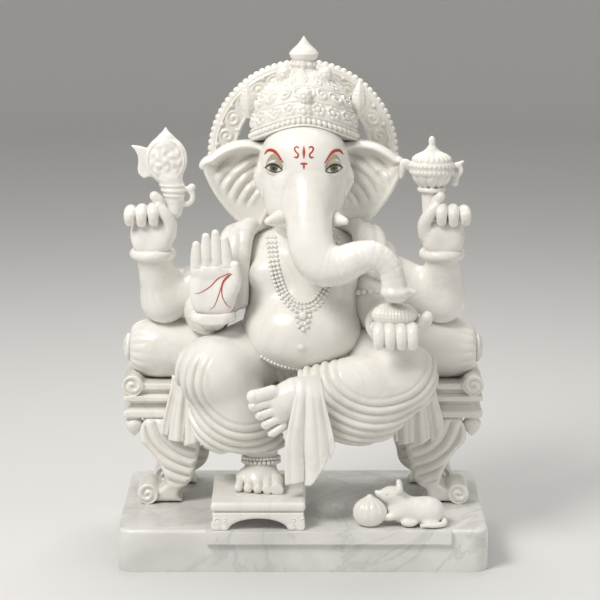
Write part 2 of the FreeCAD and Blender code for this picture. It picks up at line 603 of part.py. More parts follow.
def hanging_chain(half, low, rise, proud, radius):
    """A cord that hangs in a deep curve over the chest and belly."""
    stations = []
    for step in range(9):
        x = half * (step - 4) / 4
        z = low + rise * (x / half) ** 2
        y = min(front_of(CHEST, x, z), front_of(BELLY, x, z)) - proud
        stations.append((V(x, y, z), radius))
    return limb(stations)


# Held things
def emblem_axe():
    """A small battle axe: a round boss with a fan blade on its outer side, on a tapered stem."""
    middle = AXE_MIDDLE
    tip_from, tip_to, *tip_radii = AXE_POINT
    stem_from, stem_to, *stem_radii = AXE_STEM
    point = taper(middle + tip_from, middle + tip_to, *tip_radii)
    stem = taper(middle + stem_from, middle + stem_to, *stem_radii)
    x, z = middle.x, middle.z
    corners = [
        (x - BLADE_ROOT, z - BLADE_HALF, 0),
        (x - BLADE_REACH * BLADE_FOOT_SHARE, z - BLADE_HALF, -BLADE_BOW),
        (x - BLADE_REACH, z + BLADE_HALF, 0),
        (x - BLADE_ROOT, z + BLADE_HALF / 2, 0),
    ]
    blade = arc_plate(corners, middle.y - BLADE_THICK / 2, middle.y + BLADE_THICK / 2)
    loop = ring(middle + AXE_LOOP, AXE_LOOP_RADIUS, LOOP_THICK, BACK)
    return fused(mass(middle, AXE_BOSS), point, stem, blade, loop)


def emblem_lotus():
    """A lidded bowl on a flaring stem, with a loop handle each side."""
    foot, height, radius = LOTUS_FOOT, LOTUS_HEIGHT, LOTUS_RADIUS
    level = foot + UP * (height * LOTUS_LEVEL)
    stem_rise, thin, thick = LOTUS_STEM
    stem = cone(foot, foot + UP * (height * stem_rise), radius * thin, radius * thick)
    bowl = mass(level, (radius, radius, height * LOTUS_BOWL))
    knob = bud(level, radius * LOTUS_KNOB, height * (1 - LOTUS_LEVEL))
    sides = [level + V(side * radius, 0, 0) for side in SIDES]
    loops = [ring(place, LOTUS_LOOP_RADIUS, LOOP_THICK, BACK) for place in sides]
    return fused(stem, bowl, knob, *loops)


def pins():
    """Steel pins, each part in one stone and part in its neighbour."""
    places = []
    for front, outer_x in LEG_ROWS.values():
        places += [(side * (outer_x - LEG_KNEE_WIDTH / 2), front + LEG_DEPTH / 2) for side in SIDES]
    shoulder_back = SHOULDERS[0].y + HALO_PIN_SET_BACK
    figure = V(FIGURE_PIN_X, BOLSTER_Y, BENCH_TOP - FIGURE_PIN_DROP)
    halo_end = V(HALO_PIN_X, shoulder_back, HALO_PIN_Z)
    emblem = LOTUS_FOOT - UP * EMBLEM_PIN_DROP
    wrists = [wrist - UP * WRIST_PIN_DROP for wrist in (REAR_WRIST, LEFT_REAR_WRIST)]
    finial_z = CROWN_FOOT + CROWN_HEIGHT - FINIAL_PIN / 2
    return {
        "bench_leg_pins": group(*[rod(V(x, y, PLINTH_HEIGHT - LEG_PIN / 2), LEG_PIN) for x, y in places]),
        "bench_seat_pins": group(*[rod(V(x, y, BENCH_BOTTOM - SEAT_PIN / 2), SEAT_PIN) for x, y in places]),
        "figure_pins": group(*[rod(foot, FIGURE_PIN) for foot in (figure, flipped(figure))]),
        "neck_pin": group(rod(NECK[0] - UP * NECK_PIN_DROP, NECK_PIN)),
        "halo_pins": group(*[rod(foot, HALO_PIN, BACK) for foot in (halo_end, flipped(halo_end))]),
        "finial_pin": group(rod(CROWN_AXIS + UP * finial_z, FINIAL_PIN)),
        "emblem_pins": group(*[rod(foot, EMBLEM_PIN) for foot in (emblem, flipped(emblem))]),
        "wrist_pins": group(*[rod(foot, WRIST_PIN) for foot in wrists]),
    }


def bangles(stones):
    """One ring at each wrist."""
    wrists = (REAR_WRIST, LEFT_REAR_WRIST, BLESSING_WRIST)
    rings = [ring(wrist, WRIST_RADIUS, BANGLE_THICK) for wrist in wrists]
    forearm = OFFERING_WRIST - OFFERING_ELBOW
    place = OFFERING_ELBOW + forearm * OFFERING_BANGLE_PLACE
    rings.append(ring(place, WRIST_RADIUS + OFFERING_BANGLE_PROUD, OFFERING_BANGLE_THICK, forearm))
    return group(*[less(one, *stones) for one in rings])


def armbands(stones):
    """One bead band around each front upper arm, nearer to the elbow."""
    bands = []
    for shoulder, elbow in ((FRONT_SHOULDER, BLESSING_ELBOW), (flipped(FRONT_SHOULDER), OFFERING_ELBOW)):
        middle = shoulder + (elbow - shoulder) * ARMBAND_PLACE
        bands.append(less(ring(middle, ARM_RADIUS + ARMBAND_PROUD, ARMBAND_THICK, elbow - shoulder), *stones))
    return group(*bands)


SIDE_NAMES = ("right", "left")
HAND_NAMES = ("right_rear", "left_rear", "right_front", "left_front")


def both(shape, *tools):
    """A shape of the idol's right side and its mirror image, each without the tools' room."""
    return [less(shape, *tools), less(other_side(shape), *tools)]


def named(parts, names, suffix, shapes):
    for name, shape in zip(names, shapes):
        parts[f"{name}_{suffix}"] = shape


def assemble():
    parts = {**base_stones(), **footstool(), **mouse()}
    seat = parts["bench_seat"] = bench_seat()
    for row, (front, outer_x) in LEG_ROWS.items():
        leg = bench_leg(front, outer_x)
        named(parts, (f"{row}_right", f"{row}_left"), "bench_leg", (leg, other_side(leg)))
    parts["bench_drops"] = bench_drops()

    body = parts["torso"] = less(fused(mass(*BELLY), mass(*CHEST), mass(*SHOULDERS), mass(*HIPS)), seat)
    skull = parts["head"] = less(fused(mass(*SKULL), mass(*NECK)), body)
    nose = parts["trunk"] = less(trunk(), skull, body)
    ears = both(ear(), skull, body)
    named(parts, SIDE_NAMES, "ear", ears)
    tusks = (tusk(), other_side(tusk()).translated(V(2 * TRUNK_ROOT.x, 0, 0)))
    named(parts, SIDE_NAMES, "tusk", [less(one, skull, nose) for one in tusks])
    cap = parts["crown"] = less(crown(), skull, *ears)
    parts["crown_finial"] = less(crown_finial(), cap)
    parts["crown_buds"] = group(*both(crown_bud(), cap, *ears))
    parts["halo"] = less(halo(), body, skull, cap)

    shins = [less(right_leg(), seat, body)]
    shins.append(less(left_leg(), seat, body, shins[0]))
    named(parts, SIDE_NAMES, "leg", shins)
    feet = [less(standing_foot(), parts["footstool_top"], *shins), less(crossed_foot(), *shins)]
    named(parts, SIDE_NAMES, "foot", feet)
    parts["front_sash"] = less(front_sash(), *shins, *feet)
    drapes = both(side_drape(), seat, *shins)
    named(parts, SIDE_NAMES, "drape", drapes)

    thickness = (ARM_RADIUS, ARM_RADIUS, WRIST_RADIUS)
    right_joints = (REAR_SHOULDER, REAR_ELBOW, REAR_WRIST)
    left_joints = (flipped(REAR_SHOULDER), flipped(REAR_ELBOW), LEFT_REAR_WRIST)
    arms = [less(jointed(joints, thickness), body) for joints in (right_joints, left_joints)]
    blessing = jointed((FRONT_SHOULDER, BLESSING_ELBOW, BLESSING_WRIST), thickness)
    offering = jointed((flipped(FRONT_SHOULDER), OFFERING_ELBOW, OFFERING_WRIST), thickness)
    around_upper_arms = [body, *arms, blessing, offering, *shawl()]
    parts["armbands"] = armbands(around_upper_arms)
    arms += [less(shape, body, *arms, *shins) for shape in (blessing, offering)]
    named(parts, HAND_NAMES, "arm", arms)
    left_rear_hand = other_side(rear_hand()).translated(LEFT_REAR_WRIST - flipped(REAR_WRIST))
    hands = [rear_hand(), left_rear_hand, blessing_hand(), offering_hand()]
    hands = [less(hand, *arms, *shins) for hand in hands]
    named(parts, HAND_NAMES, "hand", hands)

    parts["sweets"] = less(from_point(OFFERING_WRIST, SWEETS), *hands, nose, *arms)
    parts["axe_emblem"] = less(emblem_axe(), *hands)
    parts["lotus_emblem"] = less(emblem_lotus(), *hands)
    parts["bangles"] = bangles(arms + hands + shins + [body])
    falls = [less(fall, body, skull, *arms, *hands) for fall in shawl()]
    parts["shawl"] = group(*falls)
    chain = hanging_chain(NECKLACE_HALF, NECKLACE_LOW, NECKLACE_RISE, NECKLACE_PROUD, NECKLACE_RADIUS)
    parts["necklace"] = less(chain, body, skull, nose, *falls)
    cord = hanging_chain(BELT_HALF, BELT_LOW, BELT_RISE, BELT_PROUD, BELT_RADIUS)
    parts["belt"] = less(cord, body, *shins)
    band = ring(RIGHT_ANKLE - UP * ANKLET_DROP, ANKLET_RADIUS, ANKLET_THICK)
    parts["anklet"] = less(band, shins[0], feet[0])
    roll, button = bolster()
    named(parts, SIDE_NAMES, "bolster", both(roll, body, seat, *arms, *shins, *drapes))
    named(parts, SIDE_NAMES, "bolster_button", both(button, seat))
    return parts


def add_pins(parts):
    """Adds the pins, and bores each stone that a pin enters."""
    rods = pins()
    for one in [solid for node in rods.values() for solid in node.Solids]:
        for name, shape in parts.items():
            if one.BoundBox.intersect(shape.BoundBox) and one.common(shape).Volume > 1:
                bored = shape.cut(one)
                parts[name] = shape = group(*[s for s in bored.Solids if s.Volume > SLIVER_VOLUME])
    return {**parts, **rods}


def main():
    os.makedirs("parts", exist_ok=True)
    for name, shape in add_pins(assemble()).items():
        solids = shape.Solids
        print(name, len(solids), round(shape.Volume), shape.isValid())
        kept = solids[0] if len(solids) == 1 else Part.makeCompound(solids)
        kept.exportStep(f"parts/{name}.step")


main()
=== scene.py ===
"""The looks of a seated marble Ganesha idol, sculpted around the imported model.

Each stone is a distance field in millimetres, placed by its own node's box and turned into a mesh.
Places in a box are shares of it; offsets from them, radii and fillets are millimetres.
Left and right in names are the idol's own; +X is the viewer's right and -Y is the front.
"""
import math
from functools import partial, reduce

import bpy
import numpy as np
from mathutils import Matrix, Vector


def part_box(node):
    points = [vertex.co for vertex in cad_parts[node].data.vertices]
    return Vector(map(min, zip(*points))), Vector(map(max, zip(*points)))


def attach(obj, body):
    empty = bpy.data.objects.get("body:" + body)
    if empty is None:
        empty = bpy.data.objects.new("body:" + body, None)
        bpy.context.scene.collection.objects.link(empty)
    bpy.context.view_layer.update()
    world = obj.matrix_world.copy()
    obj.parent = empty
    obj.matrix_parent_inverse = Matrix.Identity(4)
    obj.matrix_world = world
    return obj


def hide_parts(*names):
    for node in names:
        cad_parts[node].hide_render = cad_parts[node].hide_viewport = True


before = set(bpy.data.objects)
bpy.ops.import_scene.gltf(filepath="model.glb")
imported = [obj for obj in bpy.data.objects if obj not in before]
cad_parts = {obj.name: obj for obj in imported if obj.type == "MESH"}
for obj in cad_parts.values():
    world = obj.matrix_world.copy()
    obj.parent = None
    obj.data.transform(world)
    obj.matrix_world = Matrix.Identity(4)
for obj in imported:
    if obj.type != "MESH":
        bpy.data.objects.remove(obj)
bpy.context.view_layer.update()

import openvdb
from mathutils import Vector
from mathutils.bvhtree import BVHTree

MM = 0.001
COARSE = 1.0
FINE, MEDIUM, BROAD = 0.85 * COARSE, 1.2 * COARSE, 1.6 * COARSE
RIGHT, LEFT = -1, 1
SIDES = {"right": RIGHT, "left": LEFT}
ALONE = 400.0  # a pitch so wide that a row of flowers or beads has only one
IN_FRONT = -300.0  # a y in front of every piece, where rays start
MARGIN, WIDE_MARGIN = 7.0, 14.0  # how far a field's samples reach past its node's box
BEAD_SQUARES = 5  # squares along each edge of the cube that a bead is blown up from
FULL_TURN = 2 * math.pi


# Places and sample grids
class Place:
    """A CAD node's box, in millimetres."""

    def __init__(self, node):
        low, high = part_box(node)
        self.low, self.high = np.array(low) / MM, np.array(high) / MM
        self.mid, self.size = (self.low + self.high) / 2, self.high - self.low

    def at(self, across, back, up):
        """The point at shares of the box, from its left, front and bottom."""
        return self.low + self.size * np.array((across, back, up))


class Field:
    """Sample points over a box; x, y and z broadcast against each other."""

    def __init__(self, low, high, step):
        self.low, self.step = np.asarray(low, float), step
        counts = np.ceil((np.asarray(high) - self.low) / step).astype(int) + 1
        axes = [self.low[i] + step * np.arange(counts[i]) for i in range(3)]
        self.shape = tuple(counts)
        self.x = axes[0].astype(np.float32)[:, None, None]
        self.y = axes[1].astype(np.float32)[None, :, None]
        self.z = axes[2].astype(np.float32)[None, None, :]

    def seen_from(self, point):
        return self.x - point[0], self.y - point[1], self.z - point[2]


class Flat:
    """Sample coordinates in the x-z plane alone."""

    def __init__(self, x, z):
        self.x, self.z = x, z


# Distance fields; a factor under one flattens a field that relief or a taper has made too steep
def ellipsoid(f, middle, radii):
    x, y, z = (axis / r for axis, r in zip(f.seen_from(middle), radii))
    near = np.sqrt(x * x + y * y + z * z)
    steep = np.sqrt((x / radii[0]) ** 2 + (y / radii[1]) ** 2 + (z / radii[2]) ** 2)
    return near * (near - 1) / np.maximum(steep, 1e-5)


def bone(f, a, b, thick, thin):
    """A straight round limb between two points."""
    a, b = np.asarray(a, float), np.asarray(b, float)
    d = b - a
    x, y, z = f.seen_from(a)
    t = np.clip((x * d[0] + y * d[1] + z * d[2]) / (d @ d), 0, 1)
    gap = np.sqrt((x - t * d[0]) ** 2 + (y - t * d[1]) ** 2 + (z - t * d[2]) ** 2)
    return gap - (thick + (thin - thick) * t)


def smooth_path(points, count):
    """Points evenly spread in parameter along a Catmull-Rom curve through the given ones."""
    p = np.array(points, float)
    p = np.vstack([2 * p[0] - p[1], p, 2 * p[-1] - p[-2]])
    out = []
    for s in np.linspace(0, len(p) - 3 - 1e-6, count):
        i, t = int(s), s - int(s)
        a, b, c, d = p[i : i + 4]
        bend, twist = 2 * a - 5 * b + 4 * c - d, 3 * b - a - 3 * c + d
        out.append(0.5 * (2 * b + (c - a) * t + bend * t**2 + twist * t**3))
    return np.array(out)


def tube(f, points, radii, count=9):
    """A curved limb; each point has a radius."""
    path = smooth_path([[*p, r] for p, r in zip(points, radii)], count)
    return union(bone(f, a[:3], b[:3], a[3], b[3]) for a, b in zip(path, path[1:]))


def union(fields):
    return reduce(np.minimum, fields)


def melt(a, b, reach):
    """Union with a fillet of about the reach."""
    h = np.clip(0.5 + 0.5 * (b - a) / reach, 0, 1)
    return b * (1 - h) + a * h - reach * h * (1 - h)


def melted(fields, reach):
    """Several fields melted together one after another."""
    return reduce(lambda a, b: melt(a, b, reach), fields)


def add_lumps(f, d, origin, *lumps):
    """The field with ellipsoids melted on; a lump is an offset from the origin, three radii and a fillet."""
    for offset, radii, reach in lumps:
        d = melt(d, ellipsoid(f, origin + offset, radii), reach)
    return d


def carve(a, b, reach):
    """a without b, with a rounded lip."""
    return -melt(-a, b, reach)


def torus(f, middle, radius, thick, axis=2):
    seen = list(f.seen_from(middle))
    along = seen.pop(axis)
    return np.hypot(np.hypot(seen[0], seen[1]) - radius, along) - thick


def brick(f, low, high, edge):
    """A box with rounded edges."""
    middle, half = np.add(low, high) / 2, np.subtract(high, low) / 2 - edge
    q = [np.abs(axis) - h for axis, h in zip(f.seen_from(middle), half)]
    outside = np.sqrt(sum(np.maximum(one, 0) ** 2 for one in q))
    return outside + np.minimum(np.maximum(np.maximum(q[0], q[1]), q[2]), 0) - edge


def slab(outline, depth, edge):
    """A flat shape from its outline's distance and the distance out of its two faces, with rounded edges."""
    u, v = outline + edge, depth + edge
    return np.hypot(np.maximum(u, 0), np.maximum(v, 0)) + np.minimum(np.maximum(u, v), 0) - edge


def arc_outline(corners, steps=10):
    """A polygon from clockwise (x, z, bulge) corners; bulge bows the side to the next corner outwards."""
    out = []
    for (x, z, bulge), (nx, nz, _) in zip(corners, corners[1:] + corners[:1]):
        side = np.array((nx - x, nz - z), float)
        outwards = np.array((-side[1], side[0])) / np.linalg.norm(side)
        for t in np.arange(steps) / steps:
            out.append(np.array((x, z)) + side * t + outwards * bulge * 4 * t * (1 - t))
    return np.array(out)


def outline_distance(f, polygon, dx=0.0, dz=0.0):
    """Signed distance to a polygon in the x-z plane."""
    x, z = f.x - dx, f.z - dz
    best, inside = None, None
    for (ax, az), (bx, bz) in zip(polygon, np.roll(polygon, -1, axis=0)):
        ex, ez = bx - ax, bz - az
        t = np.clip(((x - ax) * ex + (z - az) * ez) / (ex * ex + ez * ez), 0, 1)
        d = (x - ax - t * ex) ** 2 + (z - az - t * ez) ** 2
        best = d if best is None else np.minimum(best, d)
        crosses = (az > z) != (bz > z)
        flip = crosses & (x < ax + (z - az) * ex / (ez if abs(ez) > 1e-9 else 1e-9))
        inside = flip if inside is None else inside ^ flip
    return np.where(inside, -1, 1) * np.sqrt(best)


def ridges(u):
    """Rounded folds with sharp valleys, one per unit."""
    return np.abs(np.sin(np.pi * u))


def fade(t, start, end):
    """A smooth rise from 0 at the start to 1 at the end."""
    s = np.clip((t - start) / (end - start), 0, 1)
    return s * s * (3 - 2 * s)


def swell(t, middle, width):
    """A smooth hump, one high at its middle."""
    return np.exp(-(((t - middle) / width) ** 2))


def about_axis(f, foot, along):
    """The angle about a line from its foot."""
    side = np.cross(along, (0, 1, 0))
    side /= np.linalg.norm(side)
    front = np.cross(side, along / np.linalg.norm(along))
    x, y, z = f.seen_from(foot)
    u = x * side[0] + y * side[1] + z * side[2]
    v = x * front[0] + y * front[1] + z * front[2]
    return np.arctan2(v, u)


# Carved relief; u runs along a row, v across it
def centred(u, pitch):
    """How far u is from the middle of its cell."""
    return (np.mod(u / pitch + 0.5, 1) - 0.5) * pitch


def domes(u, v, pitch, row, radius):
    """Heights of a row of round beads at one v, one bead per pitch along u."""
    return np.sqrt(np.maximum(radius**2 - centred(u, pitch) ** 2 - (v - row) ** 2, 0))


def scrolls(u, v, pitch, row, radius):
    """Heights, up to one, of a row of spiral curls that turn in alternate directions."""
    du = centred(u, pitch)
    way = np.where(np.mod(np.floor(u / pitch + 0.5), 2) > 0.5, 1.0, -1.0)
    far = np.hypot(du, v - row)
    coil = 0.5 + 0.5 * np.cos(np.arctan2(v - row, du * way) - far * 9.0 / radius)
    return coil * fade(radius - far, 0, radius * 0.2)


def rosettes(u, v, pitch, row, radius, petals=7):
    """Heights, up to one, of a row of flowers: an eye in a ring of petals."""
    du = centred(u, pitch)
    far, turn = np.hypot(du, v - row) / radius, np.arctan2(v - row, du)
    ring = swell(far, 0.68, 0.2) * (0.7 + 0.3 * np.cos(petals * turn))
    eye = np.sqrt(np.maximum(1 - (far / 0.34) ** 2, 0))
    return np.maximum(ring, eye)


def scroll_roll(u, v, radius, ends, depth):
    """A lying roll with a spiral grooved into each end; ends is the distance out of its two end faces."""
    far = np.hypot(u, v)
    groove = depth * (0.5 + 0.5 * np.cos(np.arctan2(v, u) + far * 0.75)) * fade(radius - far, 0, 1.5)
    return slab(far - radius, ends + groove, 1.5)


# Meshes and pieces
def piece_from(name, vertices, faces, material, nodes=()):
    mesh = bpy.data.meshes.new(name)
    mesh.from_pydata(vertices.tolist(), [], faces.tolist())
    mesh.validate()
    mesh.shade_smooth()
    made = bpy.data.objects.new(name, mesh)
    bpy.context.scene.collection.objects.link(made)
    made.data.materials.append(material)
    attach(made, "root")
    if nodes:
        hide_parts(*nodes)
    return made


def outward(vertices, faces):
    """The faces turned so that they enclose a positive volume."""
    a, b, c, d = (vertices[faces[:, corner]] for corner in range(4))
    volume = np.einsum("ij,ij->", a, np.cross(b, c)) + np.einsum("ij,ij->", a, np.cross(c, d))
    return faces if volume > 0 else faces[:, ::-1]


def sculpt(node, shape, step, margin=MARGIN):
    """Meshes a field over a node's box, closed at the samples' edge, and stands it in for that node."""
    place = Place(node)
    f = Field(place.low - margin, place.high + margin, step)
    values = np.broadcast_to(shape(f, place), f.shape).astype(np.float32).copy()
    for axis in range(3):
        for end in (0, -1):
            edge = [slice(None)] * 3
            edge[axis] = end
            values[tuple(edge)] = np.maximum(values[tuple(edge)], step * 0.5)
    grid = openvdb.FloatGrid(step * 3)
    grid.copyFromArray(values)
    points, quads = grid.convertToQuads(isovalue=0.0)
    points = (points * step + f.low) * MM
    return piece_from(f"{node}_carving", points, outward(points, quads.astype(np.int64)), MARBLE, (node,))


# Materials
class Wiring:
    """A node material's tree, with short calls to add a node and to join two sockets."""

    def __init__(self, name):
        self.material = bpy.data.materials.new(name)
        self.material.use_nodes = True
        self.tree = self.material.node_tree
        self.shader = self.tree.nodes["Principled BSDF"]
        self.where = self.add("ShaderNodeTexCoord")

    def add(self, kind, inputs=None, **settings):
        made = self.tree.nodes.new(kind)
        for key, value in settings.items():
            setattr(made, key, value)
        for key, value in (inputs or {}).items():
            made.inputs[key].default_value = value
        return made

    def noise(self, scale, detail, **others):
        """A noise that sticks to the object."""
        made = self.add("ShaderNodeTexNoise", {"Scale": scale, "Detail": detail, **others})
        self.join(self.where, "Object", made, "Vector")
        return made

    def ramp(self, *stops):
        """A colour ramp from (position, colour) stops."""
        made = self.add("ShaderNodeValToRGB")
        elements = made.color_ramp.elements
        for element, (position, colour) in zip((elements[0], elements[1]), (stops[0], stops[-1])):
            element.position, element.color = position, (*colour, 1)
        for position, colour in stops[1:-1]:
            elements.new(position).color = (*colour, 1)
        return made

    def blend(self, colour):
        """A mix whose second colour is given."""
        made = self.add("ShaderNodeMix", data_type="RGBA")
        made.inputs["B"].default_value = (*colour, 1)
        return made

    def join(self, source, output, target, socket):
        self.tree.links.new(source.outputs[output], target.inputs[socket])

    def set(self, **values):
        """Sets the shader's own sockets; an underscore in a name stands for a space."""
        for name, value in values.items():
            self.shader.inputs[name.replace("_", " ")].default_value = value


def marble(name, light, dark, vein, vein_scale, vein_share):
    """Polished marble: a cloudy body, warped veins, painted shade that darkens its crevices, a soft glow
    inside and a fine polish.
    """
    w = Wiring(name)
    cloud = w.noise(9.0, 4.0, Distortion=0.6)
    warp = w.noise(vein_scale, 8.0, Roughness=0.62, Distortion=1.6)
    tint = w.ramp((0.38, dark), (0.60, light))
    none = (0, 0, 0)
    veins = w.ramp((0.47, none), (0.50, (vein_share,) * 3), (0.53, none))
    veined = w.blend(vein)
    polish = w.add("ShaderNodeMapRange", {"To Min": 0.16, "To Max": 0.30})
    grain = w.noise(420.0, 3.0)
    bump = w.add("ShaderNodeBump", {"Strength": 0.05, "Distance": 0.0006})
    w.join(cloud, "Fac", tint, "Fac")
    w.join(warp, "Fac", veins, "Fac")
    w.join(veins, "Color", veined, "Factor")
    w.join(tint, "Color", veined, "A")
    # painted shade: where pointiness finds a crevice, the base colour is darkened and warmed
    hollow = w.add("ShaderNodeNewGeometry")
    crevice_shade_mask = w.add("ShaderNodeMapRange", {"From Min": 0.43, "From Max": 0.497, "To Min": 0.9, "To Max": 0.0})
    painted_crevice_shade = w.blend((light[0] * 0.74, light[1] * 0.70, light[2] * 0.60))
    w.join(hollow, "Pointiness", crevice_shade_mask, "Value")
    w.join(crevice_shade_mask, "Result", painted_crevice_shade, "Factor")
    w.join(veined, "Result", painted_crevice_shade, "A")
    w.join(painted_crevice_shade, "Result", w.shader, "Base Color")
    w.join(cloud, "Fac", polish, "Value")
    w.join(polish, "Result", w.shader, "Roughness")
    w.join(grain, "Fac", bump, "Height")
    w.join(bump, "Normal", w.shader, "Normal")
    w.set(Subsurface_Weight=0.25, Subsurface_Radius=(1.0, 0.85, 0.7), Subsurface_Scale=0.004)
    return w.material


def paint(name, colour, other, roughness=0.4):
    """Hand-laid enamel, slightly uneven in tone; the lid film made with it is painted shade."""
    w = Wiring(name)
    streak = w.noise(260.0, 4.0)
    tone = w.blend(other)
    tone.inputs["A"].default_value = (*colour, 1)
    w.join(streak, "Fac", tone, "Factor")
    w.join(tone, "Result", w.shader, "Base Color")
    w.set(Roughness=roughness)
    return w.material


def steel():
    """Brushed bar steel."""
    w = Wiring("pin_steel")
    brushed = w.noise(300.0, 6.0)
    rough = w.add("ShaderNodeMapRange", {"To Min": 0.28, "To Max": 0.5})
    w.join(brushed, "Fac", rough, "Value")
    w.join(rough, "Result", w.shader, "Roughness")
    w.set(Base_Color=(0.58, 0.58, 0.6, 1), Metallic=1.0)
    return w.material


MARBLE = marble("white_marble", (0.87, 0.855, 0.815), (0.80, 0.785, 0.74), (0.66, 0.64, 0.59), 5.0, 0.25)
VEINED = marble("veined_marble", (0.79, 0.785, 0.76), (0.66, 0.655, 0.635), (0.48, 0.48, 0.47), 4.5, 0.4)
RED = paint("red_enamel", (0.42, 0.035, 0.02), (0.55, 0.07, 0.03))
BLACK = paint("black_enamel", (0.02, 0.018, 0.016), (0.05, 0.04, 0.03), 0.25)
IRIS = paint("iris_enamel", (0.10, 0.105, 0.06), (0.20, 0.20, 0.12), 0.2)
# painted shade: a darker beige that fills the lid between each eye and its brow
LID_PAINTED_SHADE = paint("lid_painted_shade", (0.38, 0.31, 0.22), (0.50, 0.43, 0.33))
STEEL = steel()


# Head family: head, trunk and ears share one skin, so that no seam shows between them
HEAD, TRUNK = Place("head"), Place("trunk")
FACE = HEAD.at(0.5, 0.5, 0.58)
EYE_OUT, EYE_UP, EYE_FRONT = 35.0, 10.5, 35.0
TRUNK_LINE = (  # down the face, round to the idol's left, over a crest and down: a place and a radius
    ((0.21, 1.02, 0.93), 24), ((0.21, 0.62, 0.66), 26), ((0.22, 0.40, 0.40), 26.5),
    ((0.30, 0.31, 0.26), 26.5), ((0.44, 0.25, 0.24), 23), ((0.58, 0.21, 0.30), 19.5),
    ((0.71, 0.18, 0.32), 16.5), ((0.83, 0.18, 0.23), 14.5), ((0.88, 0.18, 0.05), 15),
)
TRUNK_STATIONS = 44
WRINKLES = range(18, 41, 2)  # the stations that have a wrinkle
SKIN_LAP = 1.2  # neighbours of one skin overlap by this much, so that neither shows an edge


def lid_fold(f, eye, side, stations, half, proud, level, bend, lean, radii):
    """A raised fold over or under an eye, whose ends rise by the bend and tilt by the lean."""
    path = [eye + (side * s * half, 4 * s * s - proud, level + bend * s * s + lean * s) for s in stations]
    return tube(f, path, radii)


def skull(f):
    d = ellipsoid(f, FACE + (0, 0, 8), (54, 46, 51))
    d = melt(d, ellipsoid(f, HEAD.at(0.5, 0.6, 0.17), (38, 32, 30)), 14)
    d = add_lumps(f, d, FACE, ((0, -17, 26), (40, 30, 30), 20))
    for side in SIDES.values():
        d = add_lumps(f, d, FACE, ((side * 26, -24, -28), (20, 20, 30), 18))
        temple = [FACE + (side * 49, -12, 8), FACE + (side * 52, -14, -6), FACE + (side * 46, -15, -24)]
        d = melt(d, tube(f, temple, (5, 7, 4), 8), 6)
        eye = FACE + (side * EYE_OUT, -EYE_FRONT, EYE_UP)
        d = carve(d, ellipsoid(f, eye + (0, -12, 0), (16, 8, 9)), 9)
        d = add_lumps(f, d, eye, ((0, 2.0, 0), (10, 7.5, 6.4), 2))
        upper = lid_fold(f, eye, side, (-1, -0.4, 0.2, 1), 11.5, 5.2, 6.2, -6.5, 1.2, (1.2, 2.4, 2.4, 1.2))
        lower = lid_fold(f, eye, side, (-1, -0.3, 0.3, 1), 11, 4.2, -5.6, 5, 0, (0.8, 1.6, 1.6, 0.8))
        d = melt(melt(d, upper, 2), lower, 2)
    return d


def trunk_field(f):
    """The trunk: faint wrinkles on its lower half, and a rolled, hollow tip with a small finger."""
    points, radii = [TRUNK.at(*place) for place, _ in TRUNK_LINE], [radius for _, radius in TRUNK_LINE]
    d = tube(f, points, radii, 30)
    path = smooth_path([[*p, r] for p, r in zip(points, radii)], TRUNK_STATIONS)
    for index in WRINKLES:
        a, b = path[index - 1], path[index + 1]
        along = (b[:3] - a[:3]) / np.linalg.norm(b[:3] - a[:3])
        x, y, z = f.seen_from(path[index][:3])
        level = x * along[0] + y * along[1] + z * along[2]
        near = (np.abs(level) < 3) & (x * x + y * y + z * z < (path[index][3] + 8) ** 2)
        d = d + np.where(near, 0.35 * swell(level, 0, 1.1), 0)
    tip = path[-1][:3]
    d = melt(d, torus(f, tip + (0, -1, 0), 14, 4.2), 5)
    d = melt(d, bone(f, tip + (12, -3, 0), tip + (22, -6, 1), 5, 2), 5)
    return carve(d, ellipsoid(f, tip + (0, 0, -8), (8.5, 8.5, 12)), 2)


def ear_field(f, side):
    """A fan with a rolled upper rim, a hollow under it and folds that spread from beside the cheek."""
    box = Place("right_ear" if side == RIGHT else "left_ear")
    reach, height = box.size[0], box.size[2]
    root, foot = (box.low if side == LEFT else box.high)[0], box.low[2]
    shares = (
        (-0.12, 0, 9), (-0.96, 0.70, 2), (-1.02, 0.76, 2), (-0.86, 0.85, 11), (0.10, 0.96, 0), (0.12, 0.30, 0)
    )
    x, z = (f.x - root) * -side, f.z
    corners = [(reach * out, foot + height * up, bulge) for out, up, bulge in shares]
    outline = outline_distance(Flat(x, z), arc_outline(corners))
    inside, out, up = -outline, -x / reach, (z - foot) / height
    upper = fade(up - 0.25 * out, 0.42, 0.62)
    roll = 11.0 * upper * swell(inside, 6, 5.5)
    hollow = 10.0 * upper * swell(inside, 19, 8) * fade(out, -0.1, 0.2)
    fan_x, fan_z = (out + 0.05) * reach, (up - 0.30) * height
    angle, far = np.arctan2(fan_z, fan_x), np.hypot(fan_x, fan_z)
    shown = fade(far, 12, 22) * fade(inside, 6, 20) * fade(angle, -0.1, 0.5)
    folds = 4.5 * (ridges(far / 12.5 + 0.1 * np.sin(angle * 3)) - 0.6) * shown
    lip = 2.0 * (1 - upper) * swell(inside, 3, 3)
    front = box.low[1] + 1 - roll + hollow - folds - lip - 5 * out * out
    back = box.high[1] - 2 - 4 * out * out
    return slab(outline, np.maximum(front - f.y, f.y - back), 3) * 0.9


def skin_shape(name, f, _):
    """One stone of the shared skin: the melted whole, where this stone is the nearest."""
    parts = {"head": skull(f), "trunk": trunk_field(f)}
    whole = melt(parts["head"], parts["trunk"], 26)
    for ear, side in (("right_ear", RIGHT), ("left_ear", LEFT)):
        parts[ear] = ear_field(f, side)
        whole = melt(whole, parts[ear], 7)
    nearest = union(d for key, d in parts.items() if key != name)
    return np.maximum(whole, (parts[name] - nearest) / 2 - SKIN_LAP)


